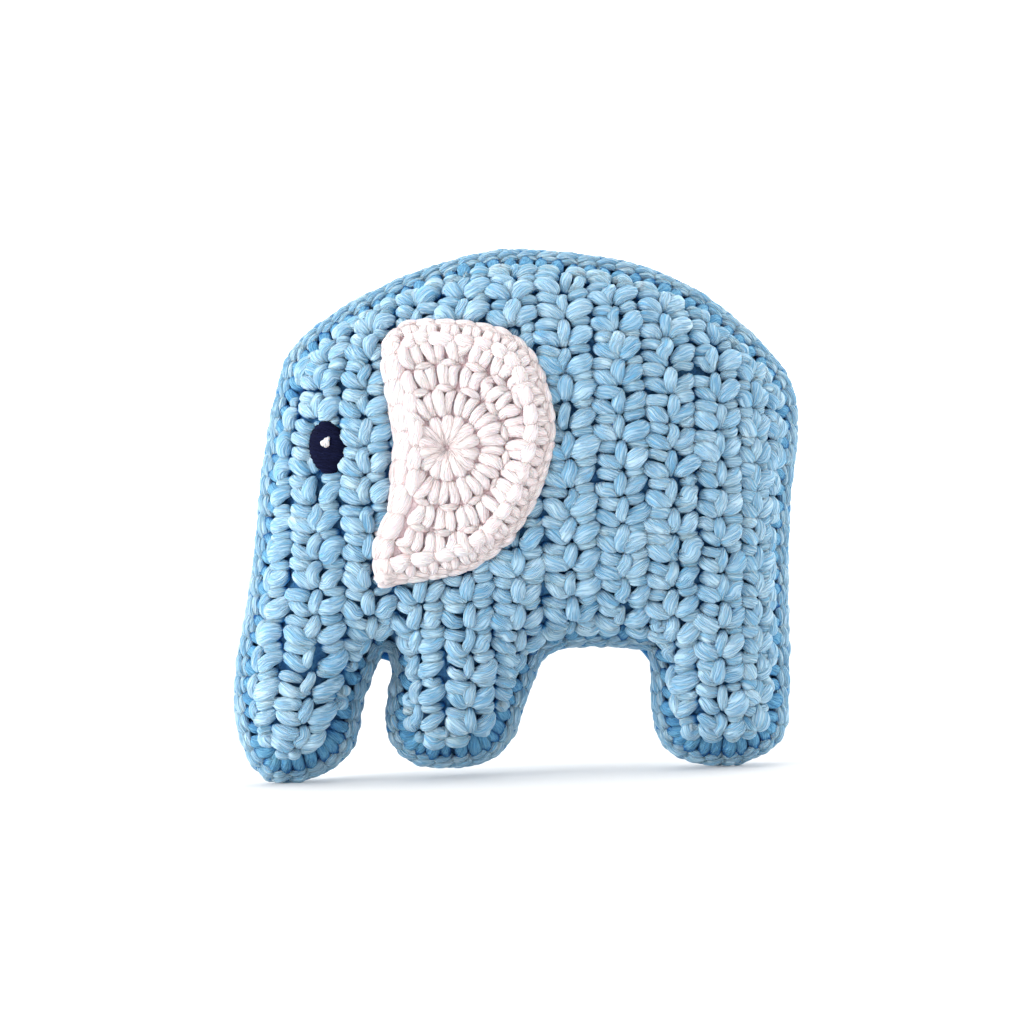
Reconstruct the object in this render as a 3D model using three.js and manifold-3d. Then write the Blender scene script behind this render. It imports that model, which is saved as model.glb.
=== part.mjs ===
// A crocheted elephant soft toy, in millimetres.
//
// +Z is up, the elephant faces -X and its left side faces -Y. The origin is on the floor, below the
// middle of the toy's length. The toy stands on its trunk tip and its rear foot.
//
// Two dished side panels are joined by an edging round and filled with four wads of fibre. Each side
// carries an ear that is sewn on by its front edge, the thread that sews it, and a stitched eye.

import * as THREE from 'three';
import { mergeVertices } from 'three/addons/utils/BufferGeometryUtils.js';
import Module from 'manifold-3d';

const wasm = await Module();
wasm.setup();

// Driving dimensions of the body
const toyLength = 131.8; // trunk tip to rump
const toyHeight = 120.2; // floor to the top of the head
const bodyCrown = 22; // half of the stuffed thickness at the middle of the body
const puffReach = 14; // how fast the side rises from its edge
const edgingWidth = 3.2; // the joining round, across the rim
const edgingThickness = 5.2; // the joining round, through the toy
const edgingRound = 0.8; // rounding of the joining round's corners
const panelWall = 3; // thickness of the crocheted fabric
const panelEdge = 1.8; // half thickness of the toy where a panel meets the edging

// Driving dimensions of the ears
const earWidth = 42.4;
const earLength = 60.7;
const earThickness = 3.6;
const threadWidth = 1.6; // the yarn that sews an ear on

// Driving dimensions of the eyes
const eyeWidth = 8.3;
const eyeHeight = 11.7;
const eyeProud = 1.3; // how far the stitched eye stands out at its middle
const eyeRim = 0.5; // and at its edge
const glintWidth = 1.9; // the small white stitch on the eye
const glintHeight = 2.3;
const glintProud = 0.5;

// Clearances
const sewnGap = 0.3; // between pieces that are sewn face to face
const fillGap = 0.4; // between the filling and the fabric
const earGap = 0.6; // between an ear and the panel below it
const threadGap = 0.4; // between the sewing thread and what it lies beside
const eyeGap = 0.4; // between an eye and the panel below it

// Fineness of the surfaces
const solvePitch = 2; // grid on which the stuffed shape is worked out
const panelPitch = 6; // facets of the panels and the filling
const earPitch = 5;
const eyePitch = 1.4;
const curveSteps = 2; // straight pieces between two points of an outline
const farAway = 60; // beyond the toy on either side

// A place on the side pattern, given as shares of the toy's length and height.
const onPattern = ([along, up]) => new THREE.Vector2(along * toyLength, up * toyHeight);

// Places on the pattern
const earPlace = onPattern([-0.112, 0.622]); // the ring that the ear is worked from
const eyePlace = onPattern([-0.313, 0.636]);
const glintPlace = onPattern([-0.3235, 0.6465]);
const limbCut = onPattern([0, 0.291]).y; // the filling is packed in wads above and below this height
const trunkCut = onPattern([-0.233, 0]).x; // between the trunk and the front leg
const legCut = onPattern([0.135, 0]).x; // between the legs

// The side pattern: two soles that lie flat on the floor and the soft curves between them.
const trunkSole = [[-0.444, 0], [-0.387, 0]];
const footSole = [[0.315, 0], [0.375, 0]];
const underside = [
  [-0.330, 0.023], [-0.293, 0.063], [-0.280, 0.116], [-0.268, 0.169], [-0.249, 0.213],
  [-0.233, 0.246],
  [-0.222, 0.213], [-0.229, 0.166], [-0.2375, 0.112], [-0.227, 0.064], [-0.196, 0.030],
  [-0.144, 0.016], [-0.079, 0.020], [-0.035, 0.042], [-0.011, 0.080], [0.014, 0.151],
  [0.032, 0.200], [0.058, 0.230], [0.114, 0.237], [0.182, 0.232], [0.217, 0.224],
  [0.229, 0.198], [0.226, 0.150], [0.228, 0.100], [0.238, 0.055], [0.262, 0.025],
];
const backAndHead = [
  [0.429, 0.025], [0.4575, 0.057], [0.4665, 0.116], [0.471, 0.270], [0.474, 0.399],
  [0.485, 0.516], [0.500, 0.649], [0.4925, 0.724], [0.458, 0.784], [0.397, 0.853],
  [0.328, 0.913], [0.243, 0.958], [0.152, 0.982], [0.016, 1.000], [-0.094, 0.983],
  [-0.231, 0.931], [-0.349, 0.856], [-0.390, 0.795], [-0.411, 0.720], [-0.435, 0.599],
  [-0.447, 0.499], [-0.466, 0.358], [-0.490, 0.241], [-0.500, 0.158], [-0.492, 0.087],
  [-0.475, 0.038],
];

// An ear's outline, as shares of its width and length from the ring that it is worked from.
const earFront = [
  [-0.415, -0.364], [-0.370, -0.270], [-0.311, -0.184], [-0.295, -0.041], [-0.274, 0.044],
  [-0.290, 0.140], [-0.316, 0.250], [-0.325, 0.379],
];
const earTop = [-0.311, 0.423];
const earBack = [
  [-0.238, 0.471], [-0.146, 0.499], [0.021, 0.491], [0.179, 0.479], [0.302, 0.456],
  [0.413, 0.412], [0.500, 0.338], [0.550, 0.242], [0.585, 0.091], [0.564, -0.020],
  [0.519, -0.120], [0.436, -0.239], [0.340, -0.331], [0.212, -0.407], [0.073, -0.456],
  [-0.080, -0.474],
];
const earTip = [-0.394, -0.501];

// Outlines

function splined(shape, points) {
  shape.splineThru(points.map(onPattern));
}

function toyOutline() {
  const shape = new THREE.Shape();
  shape.moveTo(...onPattern(trunkSole[0]));
  shape.lineTo(...onPattern(trunkSole[1]));
  splined(shape, [...underside, footSole[0]]);
  shape.lineTo(...onPattern(footSole[1]));
  splined(shape, [...backAndHead, trunkSole[0]]);
  return corners(shape);
}

function onEar([across, along]) {
  return new THREE.Vector2(earPlace.x + across * earWidth, earPlace.y + along * earLength);
}

function earOutline() {
  const shape = new THREE.Shape();
  shape.moveTo(...onEar(earTip));
  shape.splineThru([...earFront, earTop].map(onEar));
  shape.splineThru([...earBack, earTip].map(onEar));
  return corners(shape);
}

function oval(centre, width, height) {
  const shape = new THREE.Shape();
  shape.absellipse(centre.x, centre.y, width / 2, height / 2, 0, 2 * Math.PI);
  return shape.getPoints(12).slice(1);
}

// The corner points of a closed shape, anticlockwise and with no point twice.
function corners(shape) {
  const points = shape.getPoints(curveSteps);
  const kept = points.filter((p, i) => p.distanceTo(points[(i + 1) % points.length]) > 0.01);
  return THREE.ShapeUtils.isClockWise(kept) ? kept.reverse() : kept;
}

// The point of a closed outline that is nearest to p.
function nearest(outline, p) {
  const best = new THREE.Vector2();
  const found = new THREE.Vector3();
  const edge = new THREE.Line3();
  let least = Infinity;
  outline.forEach((a, i) => {
    const b = outline[(i + 1) % outline.length];
    edge.start.set(a.x, a.y, 0);
    edge.end.set(b.x, b.y, 0);
    edge.closestPointToPoint(new THREE.Vector3(p.x, p.y, 0), true, found);
    const distance = Math.hypot(found.x - p.x, found.y - p.y);
    if (distance < least) {
      least = distance;
      best.set(found.x, found.y);
    }
  });
  return best;
}

function isInside(outline, p) {
  let inside = false;
  outline.forEach((a, i) => {
    const b = outline[(i + 1) % outline.length];
    const crosses = (a.y > p.y) !== (b.y > p.y);
    if (crosses && p.x < a.x + ((p.y - a.y) / (b.y - a.y)) * (b.x - a.x)) inside = !inside;
  });
  return inside;
}

// The outline moved inwards. Corners keep their angle, and points that come nearer to the outline than
// that are left out.
function inset(outline, distance) {
  const count = outline.length;
  const inward = (a, b) => new THREE.Vector2(a.y - b.y, b.x - a.x).normalize();
  const moved = outline.map((p, i) => {
    const before = inward(outline[(i + count - 1) % count], p);
    const after = inward(p, outline[(i + 1) % count]);
    const mitre = before.clone().add(after).multiplyScalar(distance / (1 + before.dot(after)));
    return p.clone().add(mitre);
  });
  const tolerance = 0.02;
  return moved.filter(
    (p) => isInside(outline, p) && nearest(outline, p).distanceTo(p) > distance - tolerance,
  );
}

// The stuffed shape

// The height over the middle plane of a side that is blown up inside an outline: crown high at its
// fullest, falling steeply to nothing at the outline, and lower in the narrow limbs. It is the root of
// a stretched sheet's deflection, worked out on a square grid.
function stuffedHeight(outline, crown) {
  const columns = Math.ceil(toyLength / solvePitch) + 3;
  const rows = Math.ceil(toyHeight / solvePitch) + 3;
  const left = (-columns * solvePitch) / 2;
  const base = -solvePitch;
  const screening = (solvePitch / puffReach) ** 2;
  const sag = new Float64Array(columns * rows);
  const active = [];
  for (let row = 1; row < rows - 1; row++) {
    for (let column = 1; column < columns - 1; column++) {
      const p = new THREE.Vector2(left + column * solvePitch, base + row * solvePitch);
      if (isInside(outline, p)) active.push(row * columns + column);
    }
  }
  const sweeps = 500;
  for (let sweep = 0; sweep < sweeps; sweep++) {
    for (const k of active) {
      const around = sag[k - 1] + sag[k + 1] + sag[k - columns] + sag[k + columns];
      sag[k] = (around + screening) / (4 + screening);
    }
  }
  const fullest = sag.reduce((most, value) => Math.max(most, value), 0);
  return (x, z) => {
    const across = THREE.MathUtils.clamp((x - left) / solvePitch, 0, columns - 1.001);
    const up = THREE.MathUtils.clamp((z - base) / solvePitch, 0, rows - 1.001);
    const k = Math.floor(up) * columns + Math.floor(across);
    const lower = THREE.MathUtils.lerp(sag[k], sag[k + 1], across % 1);
    const upper = THREE.MathUtils.lerp(sag[k + columns], sag[k + columns + 1], across % 1);
    return crown * Math.sqrt(THREE.MathUtils.lerp(lower, upper, up % 1) / fullest);
  };
}

// The same height, carried on past the outline as steeply as it falls inside it, so that facets which
// cross the outline meet it near the height of the edge. It goes no lower than the depth given.
function carriedOn(height, outline, edge, depth) {
  return (x, z) => {
    const p = new THREE.Vector2(x, z);
    if (isInside(outline, p)) return Math.max(height(x, z), edge);
    const mirrored = nearest(outline, p).multiplyScalar(2).sub(p);
    return Math.max(2 * edge - Math.max(height(mirrored.x, mirrored.y), edge), -depth);
  };
}

// Solids

function solidOf(geometry) {
  const bare = geometry.clone();
  bare.deleteAttribute('normal');
  bare.deleteAttribute('uv');
  const merged = mergeVertices(bare, 1e-4);
  return new wasm.Manifold(
    new wasm.Mesh({
      numProp: 3,
      vertProperties: new Float32Array(merged.attributes.position.array),
      triVerts: new Uint32Array(merged.index.array),
    }),
  );
}

function geometryOf(solid) {
  const mesh = solid.getMesh();
  const geometry = new THREE.BufferGeometry();
  geometry.setAttribute('position', new THREE.BufferAttribute(mesh.vertProperties, 3));
  geometry.setIndex(new THREE.BufferAttribute(mesh.triVerts, 1));
  geometry.computeVertexNormals();
  return geometry;
}

// A prism through the toy, with the outline as its section.
function prism(outline, low, high) {
  const depth = high - low;
  const geometry = new THREE.ExtrudeGeometry(new THREE.Shape(outline), { depth, bevelEnabled: false });
  geometry.rotateX(Math.PI / 2);
  geometry.translate(0, high, 0);
  return solidOf(geometry);
}

// The space over an outline's box between two surfaces, each a function that gives y at x and z.
function between(outline, pitch, nearSurface, farSurface) {
  const box = new THREE.Box2().setFromPoints(outline).expandByScalar(pitch);
  const size = box.getSize(new THREE.Vector2());
  const columns = Math.ceil(size.x / pitch);
  const rows = Math.ceil(size.y / pitch);
  const geometry = new THREE.BoxGeometry(size.x, size.y, 1, columns, rows, 1);
  const position = geometry.attributes.position;
  for (let i = 0; i < position.count; i++) {
    const x = position.getX(i) + (box.min.x + box.max.x) / 2;
    const z = position.getY(i) + (box.min.y + box.max.y) / 2;
    const surface = position.getZ(i) > 0 ? nearSurface : farSurface;
    position.setXYZ(i, x, surface(x, z), z);
  }
  return solidOf(geometry);
}

// The same on the side that is asked for, from an inner to an outer height over the middle plane.
function layer(side, outline, pitch, inner, outer) {
  const innerSurface = (x, z) => side * inner(x, z);
  const outerSurface = (x, z) => side * outer(x, z);
  return side < 0
    ? between(outline, pitch, outerSurface, innerSurface)
    : between(outline, pitch, innerSurface, outerSurface);
}

function box(low, high) {
  const size = new THREE.Vector3().subVectors(high, low);
  const middle = new THREE.Vector3().addVectors(high, low).multiplyScalar(0.5);
  const geometry = new THREE.BoxGeometry(size.x, size.y, size.z);
  geometry.translate(middle.x, middle.y, middle.z);
  return solidOf(geometry);
}

// Outlines and heights that the pieces share

const outside = toyOutline();
const panelOutline = inset(outside, edgingWidth + sewnGap);
const hollowOutline = inset(outside, edgingWidth + sewnGap + panelWall);
const fillOutline = inset(outside, edgingWidth + sewnGap + panelWall + fillGap);

const panelHeight = stuffedHeight(panelOutline, bodyCrown);
const hollowHeight = stuffedHeight(hollowOutline, bodyCrown - panelWall);
const outerFace = carriedOn(panelHeight, panelOutline, panelEdge, panelEdge);
const innerFace = carriedOn(hollowHeight, hollowOutline, 0, bodyCrown);

// The body

function edgingGeometry() {
  const geometry = new THREE.ExtrudeGeometry(new THREE.Shape(inset(outside, edgingRound)), {
    depth: edgingThickness - 2 * edgingRound,
    bevelEnabled: true,
    bevelThickness: edgingRound,
    bevelSize: edgingRound,
    bevelSegments: 1,
  });
  geometry.rotateX(Math.PI / 2);
  geometry.translate(0, edgingThickness / 2 - edgingRound, 0);
  const middle = prism(inset(outside, edgingWidth), -farAway, farAway);
  return geometryOf(solidOf(geometry).subtract(middle));
}

function panelGeometry(side) {
  const seam = side * (sewnGap / 2);
  const beyond = side * farAway;
  const body = layer(side, outside, panelPitch, () => -farAway, outerFace);
  const hollow = layer(side, outside, panelPitch, () => -farAway, innerFace);
  const panelPrism = prism(panelOutline, Math.min(seam, beyond), Math.max(seam, beyond));
  const hollowPrism = prism(hollowOutline, -farAway, farAway);
  return geometryOf(body.intersect(panelPrism).subtract(hollow.intersect(hollowPrism)));
}

function fillSolid() {
  const fillFace = (x, z) => innerFace(x, z) - fillGap;
  const leftHalf = layer(-1, outside, panelPitch, () => -farAway, fillFace);
  const rightHalf = layer(1, outside, panelPitch, () => -farAway, fillFace);
  return leftHalf.intersect(rightHalf).intersect(prism(fillOutline, -farAway, farAway));
}

function wadGeometry(fill, fromX, toX, fromZ, toZ) {
  const low = new THREE.Vector3(fromX, -farAway, fromZ);
  const high = new THREE.Vector3(toX, farAway, toZ);
  return geometryOf(fill.intersect(box(low, high)));
}

// An ear, its thread and an eye

function earGeometry(side) {
  const outline = earOutline();
  const inner = (x, z) => panelHeight(x, z) + earGap;
  const outer = (x, z) => inner(x, z) + earThickness;
  const plate = layer(side, outline, earPitch, inner, outer);
  return geometryOf(plate.intersect(prism(outline, -farAway, farAway)));
}

// The height at which the middle of a strand clears the panel by a distance, square to its slope.
function strandHeight(x, z, distance) {
  const alongX = (panelHeight(x + distance, z) - panelHeight(x - distance, z)) / (2 * distance);
  const alongZ = (panelHeight(x, z + distance) - panelHeight(x, z - distance)) / (2 * distance);
  return panelHeight(x, z) + distance * Math.hypot(1, alongX, alongZ);
}

// The sewing thread lies on the panel along the front edge of the ear.
function threadGeometry(side) {
  const clear = threadWidth / 2 + threadGap;
  const points = earFront.map((place) => {
    const { x, y: z } = onEar(place);
    return new THREE.Vector3(x - clear, side * strandHeight(x - clear, z, clear), z);
  });
  const sides = 8;
  const section = new THREE.Shape();
  section.absarc(0, 0, threadWidth / 2, 0, 2 * Math.PI);
  return new THREE.ExtrudeGeometry(section, {
    steps: 24,
    curveSegments: sides / 2,
    bevelEnabled: false,
    extrudePath: new THREE.CatmullRomCurve3(points),
  });
}

// How far a rounded pad stands over its own back, at a point of its oval.
function padHeight(centre, width, height, rim, proud) {
  return (x, z) => {
    const across = (x - centre.x) / (width / 2);
    const up = (z - centre.y) / (height / 2);
    const rise = Math.sqrt(Math.max(0, 1 - across * across - up * up));
    return rim + (proud - rim) * rise;
  };
}

function padGeometry(side, outline, back, thickness) {
  const front = (x, z) => back(x, z) + thickness(x, z);
  const pad = layer(side, outline, eyePitch, back, front);
  return geometryOf(pad.intersect(prism(outline, -farAway, farAway)));
}

const eyeBack = (x, z) => panelHeight(x, z) + eyeGap;
const eyeThickness = padHeight(eyePlace, eyeWidth, eyeHeight, eyeRim, eyeProud);
const glintBack = (x, z) => eyeBack(x, z) + eyeThickness(x, z) + sewnGap;

function eyeGeometry(side) {
  return padGeometry(side, oval(eyePlace, eyeWidth, eyeHeight), eyeBack, eyeThickness);
}

function glintGeometry(side) {
  const thickness = padHeight(glintPlace, glintWidth, glintHeight, glintProud / 2, glintProud);
  return padGeometry(side, oval(glintPlace, glintWidth, glintHeight), glintBack, thickness);
}

// The toy

const yarn = (color, roughness) => ({ color, roughness, metalness: 0 });
const blueYarn = yarn(0x9cc8de, 0.9);
const paleYarn = yarn(0xf0e6e8, 0.9);
const navyYarn = yarn(0x101e40, 0.55);
const whiteYarn = yarn(0xf6f6f8, 0.7);
const fibre = yarn(0xf7f5f0, 1);

function piece(name, geometry, finish) {
  const mesh = new THREE.Mesh(geometry, new THREE.MeshStandardMaterial(finish));
  mesh.name = name;
  return mesh;
}

const group = new THREE.Group();

group.add(piece('edging_round', edgingGeometry(), blueYarn));

const fill = fillSolid();
const below = limbCut - sewnGap / 2;
const above = limbCut + sewnGap / 2;
const trunkEnd = trunkCut - sewnGap / 2;
const frontLegStart = trunkCut + sewnGap / 2;
const frontLegEnd = legCut - sewnGap / 2;
const rearLegStart = legCut + sewnGap / 2;
const reach = toyLength + toyHeight;
group.add(piece('body_filling', wadGeometry(fill, -reach, reach, above, reach), fibre));
group.add(piece('trunk_filling', wadGeometry(fill, -reach, trunkEnd, -reach, below), fibre));
group.add(piece('front_leg_filling', wadGeometry(fill, frontLegStart, frontLegEnd, -reach, below), fibre));
group.add(piece('rear_leg_filling', wadGeometry(fill, rearLegStart, reach, -reach, below), fibre));

for (const [label, side] of [['left', -1], ['right', 1]]) {
  group.add(piece(`${label}_panel`, panelGeometry(side), blueYarn));
  group.add(piece(`${label}_ear`, earGeometry(side), paleYarn));
  group.add(piece(`${label}_ear_thread`, threadGeometry(side), paleYarn));
  group.add(piece(`${label}_eye`, eyeGeometry(side), navyYarn));
  group.add(piece(`${label}_eye_glint`, glintGeometry(side), whiteYarn));
}

export default group;
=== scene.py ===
"""A crocheted elephant soft toy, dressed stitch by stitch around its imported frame."""

import logging
import math
from dataclasses import dataclass, field
from enum import Enum

import bpy
import numpy as np
from mathutils import Matrix, Vector
from mathutils.bvhtree import BVHTree
from mathutils.geometry import delaunay_2d_cdt


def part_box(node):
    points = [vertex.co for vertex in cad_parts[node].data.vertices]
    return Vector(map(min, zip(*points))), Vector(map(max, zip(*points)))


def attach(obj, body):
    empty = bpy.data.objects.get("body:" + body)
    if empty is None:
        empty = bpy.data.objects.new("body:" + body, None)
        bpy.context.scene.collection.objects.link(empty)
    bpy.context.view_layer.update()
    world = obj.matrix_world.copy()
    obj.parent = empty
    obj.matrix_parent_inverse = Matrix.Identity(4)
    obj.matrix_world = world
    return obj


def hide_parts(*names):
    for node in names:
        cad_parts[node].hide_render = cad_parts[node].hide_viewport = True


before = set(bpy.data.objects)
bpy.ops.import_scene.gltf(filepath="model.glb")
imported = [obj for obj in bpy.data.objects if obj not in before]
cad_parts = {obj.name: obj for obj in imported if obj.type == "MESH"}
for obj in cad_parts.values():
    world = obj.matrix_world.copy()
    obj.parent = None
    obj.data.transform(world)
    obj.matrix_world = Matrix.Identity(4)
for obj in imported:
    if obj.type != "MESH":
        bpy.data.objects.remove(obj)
log = logging.getLogger("elephant")

MM = 0.001
LEFT, RIGHT = -1, 1
SEED = 41


class Slot(Enum):
    """The record's material slots."""

    BLUE = "blue_yarn"
    EAR = "ear_yarn"
    NAVY = "navy_yarn"
    WHITE = "white_yarn"
    FIBRE = "fibre_filling"


def side_name(side: int) -> str:
    """Return the word for a side."""
    return "left" if side < 0 else "right"


def mesh_of(node: str) -> bpy.types.Mesh:
    """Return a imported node's mesh."""
    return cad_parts[node].data


def box_mm(node: str) -> tuple[np.ndarray, np.ndarray]:
    """Return a node's lowest and highest corners in millimetres."""
    low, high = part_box(node)
    return np.array(low) / MM, np.array(high) / MM


def unit(vectors: np.ndarray) -> np.ndarray:
    """Scale vectors along the last axis to length one."""
    return vectors / np.maximum(np.linalg.norm(vectors, axis=-1, keepdims=True), 1e-9)


def through(knots: np.ndarray, count: int) -> np.ndarray:
    """Put smooth curves through knots.

    Args:
        knots: Knots of several curves, shaped (curves, knots, values).
        count: Points wanted on each curve.

    Returns:
        The points, shaped (curves, count, values).
    """
    last = knots.shape[1] - 1
    at = np.linspace(0, last, count)
    k = np.minimum(at.astype(int), last - 1)
    t = (at - k)[:, None]
    before = 2 * knots[:, :1] - knots[:, 1:2]
    after = 2 * knots[:, -1:] - knots[:, -2:-1]
    padded = np.concatenate([before, knots, after], axis=1)
    p0, p1, p2, p3 = (padded[:, k + i] for i in range(4))
    cubic = (3 * p1 - p0 - 3 * p2 + p3) * t**3
    return 0.5 * (2 * p1 + (p2 - p0) * t + (2 * p0 - 5 * p1 + 4 * p2 - p3) * t**2 + cubic)


# Shapes worked out from the frame


@dataclass
class Field:
    """Values on a square grid over the side view, read smoothly in between.

    Args:
        left: The grid's first x, in millimetres.
        base: The grid's first z.
        pitch: Spacing of the grid.
        values: One value per place, in rows of equal z.
    """

    left: float
    base: float
    pitch: float
    values: np.ndarray

    def places(self) -> tuple[np.ndarray, np.ndarray]:
        """Return the x and the z of every place of the grid."""
        rows, columns = self.values.shape
        across = self.left + np.arange(columns) * self.pitch
        up = self.base + np.arange(rows) * self.pitch
        return np.meshgrid(across, up)

    def with_values(self, values: np.ndarray) -> "Field":
        """Return a field of other values on the same grid."""
        return Field(self.left, self.base, self.pitch, values)

    def at(self, x: np.ndarray, z: np.ndarray) -> np.ndarray:
        """Read the field at places in millimetres.

        Args:
            x: Places along the toy.
            z: Heights over the floor.

        Returns:
            The values there.
        """
        rows, columns = self.values.shape
        across = np.clip((x - self.left) / self.pitch, 0, columns - 1.001)
        up = np.clip((z - self.base) / self.pitch, 0, rows - 1.001)
        i, j = across.astype(int), up.astype(int)
        s, t = across - i, up - j
        v = self.values
        lower = v[j, i] * (1 - s) + v[j, i + 1] * s
        upper = v[j + 1, i] * (1 - s) + v[j + 1, i + 1] * s
        return lower * (1 - t) + upper * t

    def holds(self, x: np.ndarray, z: np.ndarray) -> np.ndarray:
        """Return whether places are on the grid."""
        rows, columns = self.values.shape
        across, up = (x - self.left) / self.pitch, (z - self.base) / self.pitch
        return (across >= 0) & (across < columns - 1) & (up >= 0) & (up < rows - 1)

    def slope(self, x: np.ndarray, z: np.ndarray) -> tuple[np.ndarray, np.ndarray]:
        """Return how fast the field rises along x and along z."""
        d = self.pitch
        along_x = (self.at(x + d, z) - self.at(x - d, z)) / (2 * d)
        along_z = (self.at(x, z + d) - self.at(x, z - d)) / (2 * d)
        return along_x, along_z

    def blurred(self, rounds: int) -> "Field":
        """Return the field with each value mixed with its neighbours, several times over."""
        v = self.values
        for _ in range(rounds):
            wide = np.pad(v, 1, mode="edge")
            v = 0.5 * v + 0.125 * (wide[1:-1, 2:] + wide[1:-1, :-2] + wide[2:, 1:-1] + wide[:-2, 1:-1])
        return self.with_values(v)


def joined_loop(points: np.ndarray, pairs: list[tuple[int, int]]) -> np.ndarray:
    """Follow edges once around into a closed loop.

    Args:
        points: Places in the side view.
        pairs: The edges, as pairs of points.

    Returns:
        The longest loop's places, in order and counter-clockwise.
    """
    links: dict[int, list[int]] = {}
    for a, b in pairs:
        links.setdefault(a, []).append(b)
        links.setdefault(b, []).append(a)
    best: list[int] = []
    left_over = set(links)
    while left_over:
        start = left_over.pop()
        order, current = [start], start
        while True:
            onward = [i for i in links[current] if i in left_over]
            if not onward:
                break
            current = onward[0]
            left_over.discard(current)
            order.append(current)
        best = max(best, order, key=len)
    loop = points[best]
    after = np.roll(loop, -1, axis=0)
    area = np.sum(loop[:, 0] * after[:, 1] - after[:, 0] * loop[:, 1])
    return loop if area > 0 else loop[::-1]


def merged(mesh: bpy.types.Mesh) -> tuple[np.ndarray, np.ndarray]:
    """Return a mesh's separate places in millimetres, and each vertex's place."""
    places = np.array([v.co for v in mesh.vertices]) / MM
    return np.unique(np.round(places, 3), axis=0, return_inverse=True)


def wall_loop(node: str) -> np.ndarray:
    """Trace a node's outer wall in the plane nearest its middle."""
    mesh = mesh_of(node)
    places, of_vertex = merged(mesh)
    of_vertex = of_vertex.reshape(-1)
    level = -np.abs(places[:, 1]).min()
    on_wall = np.isclose(places[:, 1], level, atol=0.05)
    ends = {tuple(sorted(of_vertex[list(e.vertices)])) for e in mesh.edges}
    return joined_loop(places[:, [0, 2]], [(a, b) for a, b in ends if a != b and on_wall[a] and on_wall[b]])


def face_loop(node: str, side: int) -> np.ndarray:
    """Trace the border of the face that a flat node turns outwards."""
    mesh = mesh_of(node)
    places, of_vertex = merged(mesh)
    of_vertex = of_vertex.reshape(-1)
    turns: dict[tuple[int, int], list[bool]] = {}
    for face in mesh.polygons:
        corners = of_vertex[list(face.vertices)]
        for a, b in zip(corners, np.roll(corners, -1)):
            turns.setdefault(tuple(sorted((a, b))), []).append(face.normal.y * side > 0.5)
    return joined_loop(places[:, [0, 2]], [pair for pair, outward in turns.items() if sum(outward) == 1])


@dataclass
class Outline:
    """A closed line in the side view, with the distance to it.

    Args:
        corners: Places around the line, counter-clockwise.
        spacing: Distance between its even points.
        margin: Room kept around it on the grid.
        pitch: Spacing of the grid.
        softening: How often its corners are cut.
        loop: Its even points.
        along: Distance along the line at each point, and the whole length last.
        inward: The way into the shape at each point.
        distance: The distance to the line, positive inside it.
    """

    corners: np.ndarray
    spacing: float = 0.8
    margin: float = 6.0
    pitch: float = 0.75
    softening: int = 2
    loop: np.ndarray = field(init=False)
    along: np.ndarray = field(init=False)
    inward: np.ndarray = field(init=False)
    distance: Field = field(init=False)

    def __post_init__(self) -> None:
        """Space the line's points evenly and work out the distance to it."""
        loop = self.corners
        for _ in range(self.softening):
            after = np.roll(loop, -1, axis=0)
            loop = np.stack([0.75 * loop + 0.25 * after, 0.25 * loop + 0.75 * after], axis=1).reshape(-1, 2)
        closed = np.vstack([loop, loop[:1]])
        gone = np.concatenate([[0], np.cumsum(np.linalg.norm(np.diff(closed, axis=0), axis=1))])
        count = int(round(gone[-1] / self.spacing))
        at = np.arange(count) * gone[-1] / count
        self.loop = np.stack([np.interp(at, gone, closed[:, k]) for k in range(2)], axis=1)
        self.along = np.append(at, gone[-1])
        ahead = sum(np.roll(self.loop, -k, axis=0) - np.roll(self.loop, k, axis=0) for k in (1, 2, 3))
        self.inward = unit(np.stack([-ahead[:, 1], ahead[:, 0]], axis=1))
        self.distance = self.distance_field()

    def distance_field(self) -> Field:
        """Return the distance to the line, positive inside it."""
        low, high = self.loop.min(axis=0) - self.margin, self.loop.max(axis=0) + self.margin
        shape = np.ceil((high - low)[::-1] / self.pitch).astype(int)
        blank = Field(low[0], low[1], self.pitch, np.zeros(shape))
        x, z = blank.places()
        nearest = np.full(x.shape, np.inf)
        inside = np.zeros(x.shape, bool)
        for p, q in zip(self.loop, np.roll(self.loop, -1, axis=0)):
            d = q - p
            t = np.clip(((x - p[0]) * d[0] + (z - p[1]) * d[1]) / (d @ d), 0, 1)
            nearest = np.minimum(nearest, np.hypot(x - p[0] - t * d[0], z - p[1] - t * d[1]))
            if p[1] != q[1]:
                inside ^= ((p[1] > z) != (q[1] > z)) & (x < p[0] + (z - p[1]) / d[1] * d[0])
        return blank.with_values(np.where(inside, nearest, -nearest))

    def at(self, gone: np.ndarray, depth: np.ndarray) -> tuple[np.ndarray, np.ndarray]:
        """Return places on or beside the line.

        Args:
            gone: Distances along the line.
            depth: Distances inwards from it.

        Returns:
            The x and z of the places.
        """
        wrapped = np.mod(gone, self.along[-1])
        closed = np.vstack([self.loop, self.loop[:1]])
        normals = np.vstack([self.inward, self.inward[:1]])
        place = [np.interp(wrapped, self.along, closed[:, k]) for k in range(2)]
        inward = [np.interp(wrapped, self.along, normals[:, k]) for k in range(2)]
        return place[0] + inward[0] * depth, place[1] + inward[1] * depth

    def pulled_in(self, x: np.ndarray, z: np.ndarray, least: float) -> tuple[np.ndarray, ...]:
        """Move places that lie too near the line inwards.

        Args:
            x: Places along the toy.
            z: Heights over the floor.
            least: The least distance to the line.

        Returns:
            The moved x and z, and how far each was moved.
        """
        moved = np.zeros_like(x)
        for _ in range(3):
            lack = np.maximum(least - self.distance.at(x, z), 0)
            gx, gz = self.distance.slope(x, z)
            scale = lack / np.maximum(np.hypot(gx, gz), 0.4)
            x, z, moved = x + gx * scale, z + gz * scale, moved + lack
        return x, z, moved


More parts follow.
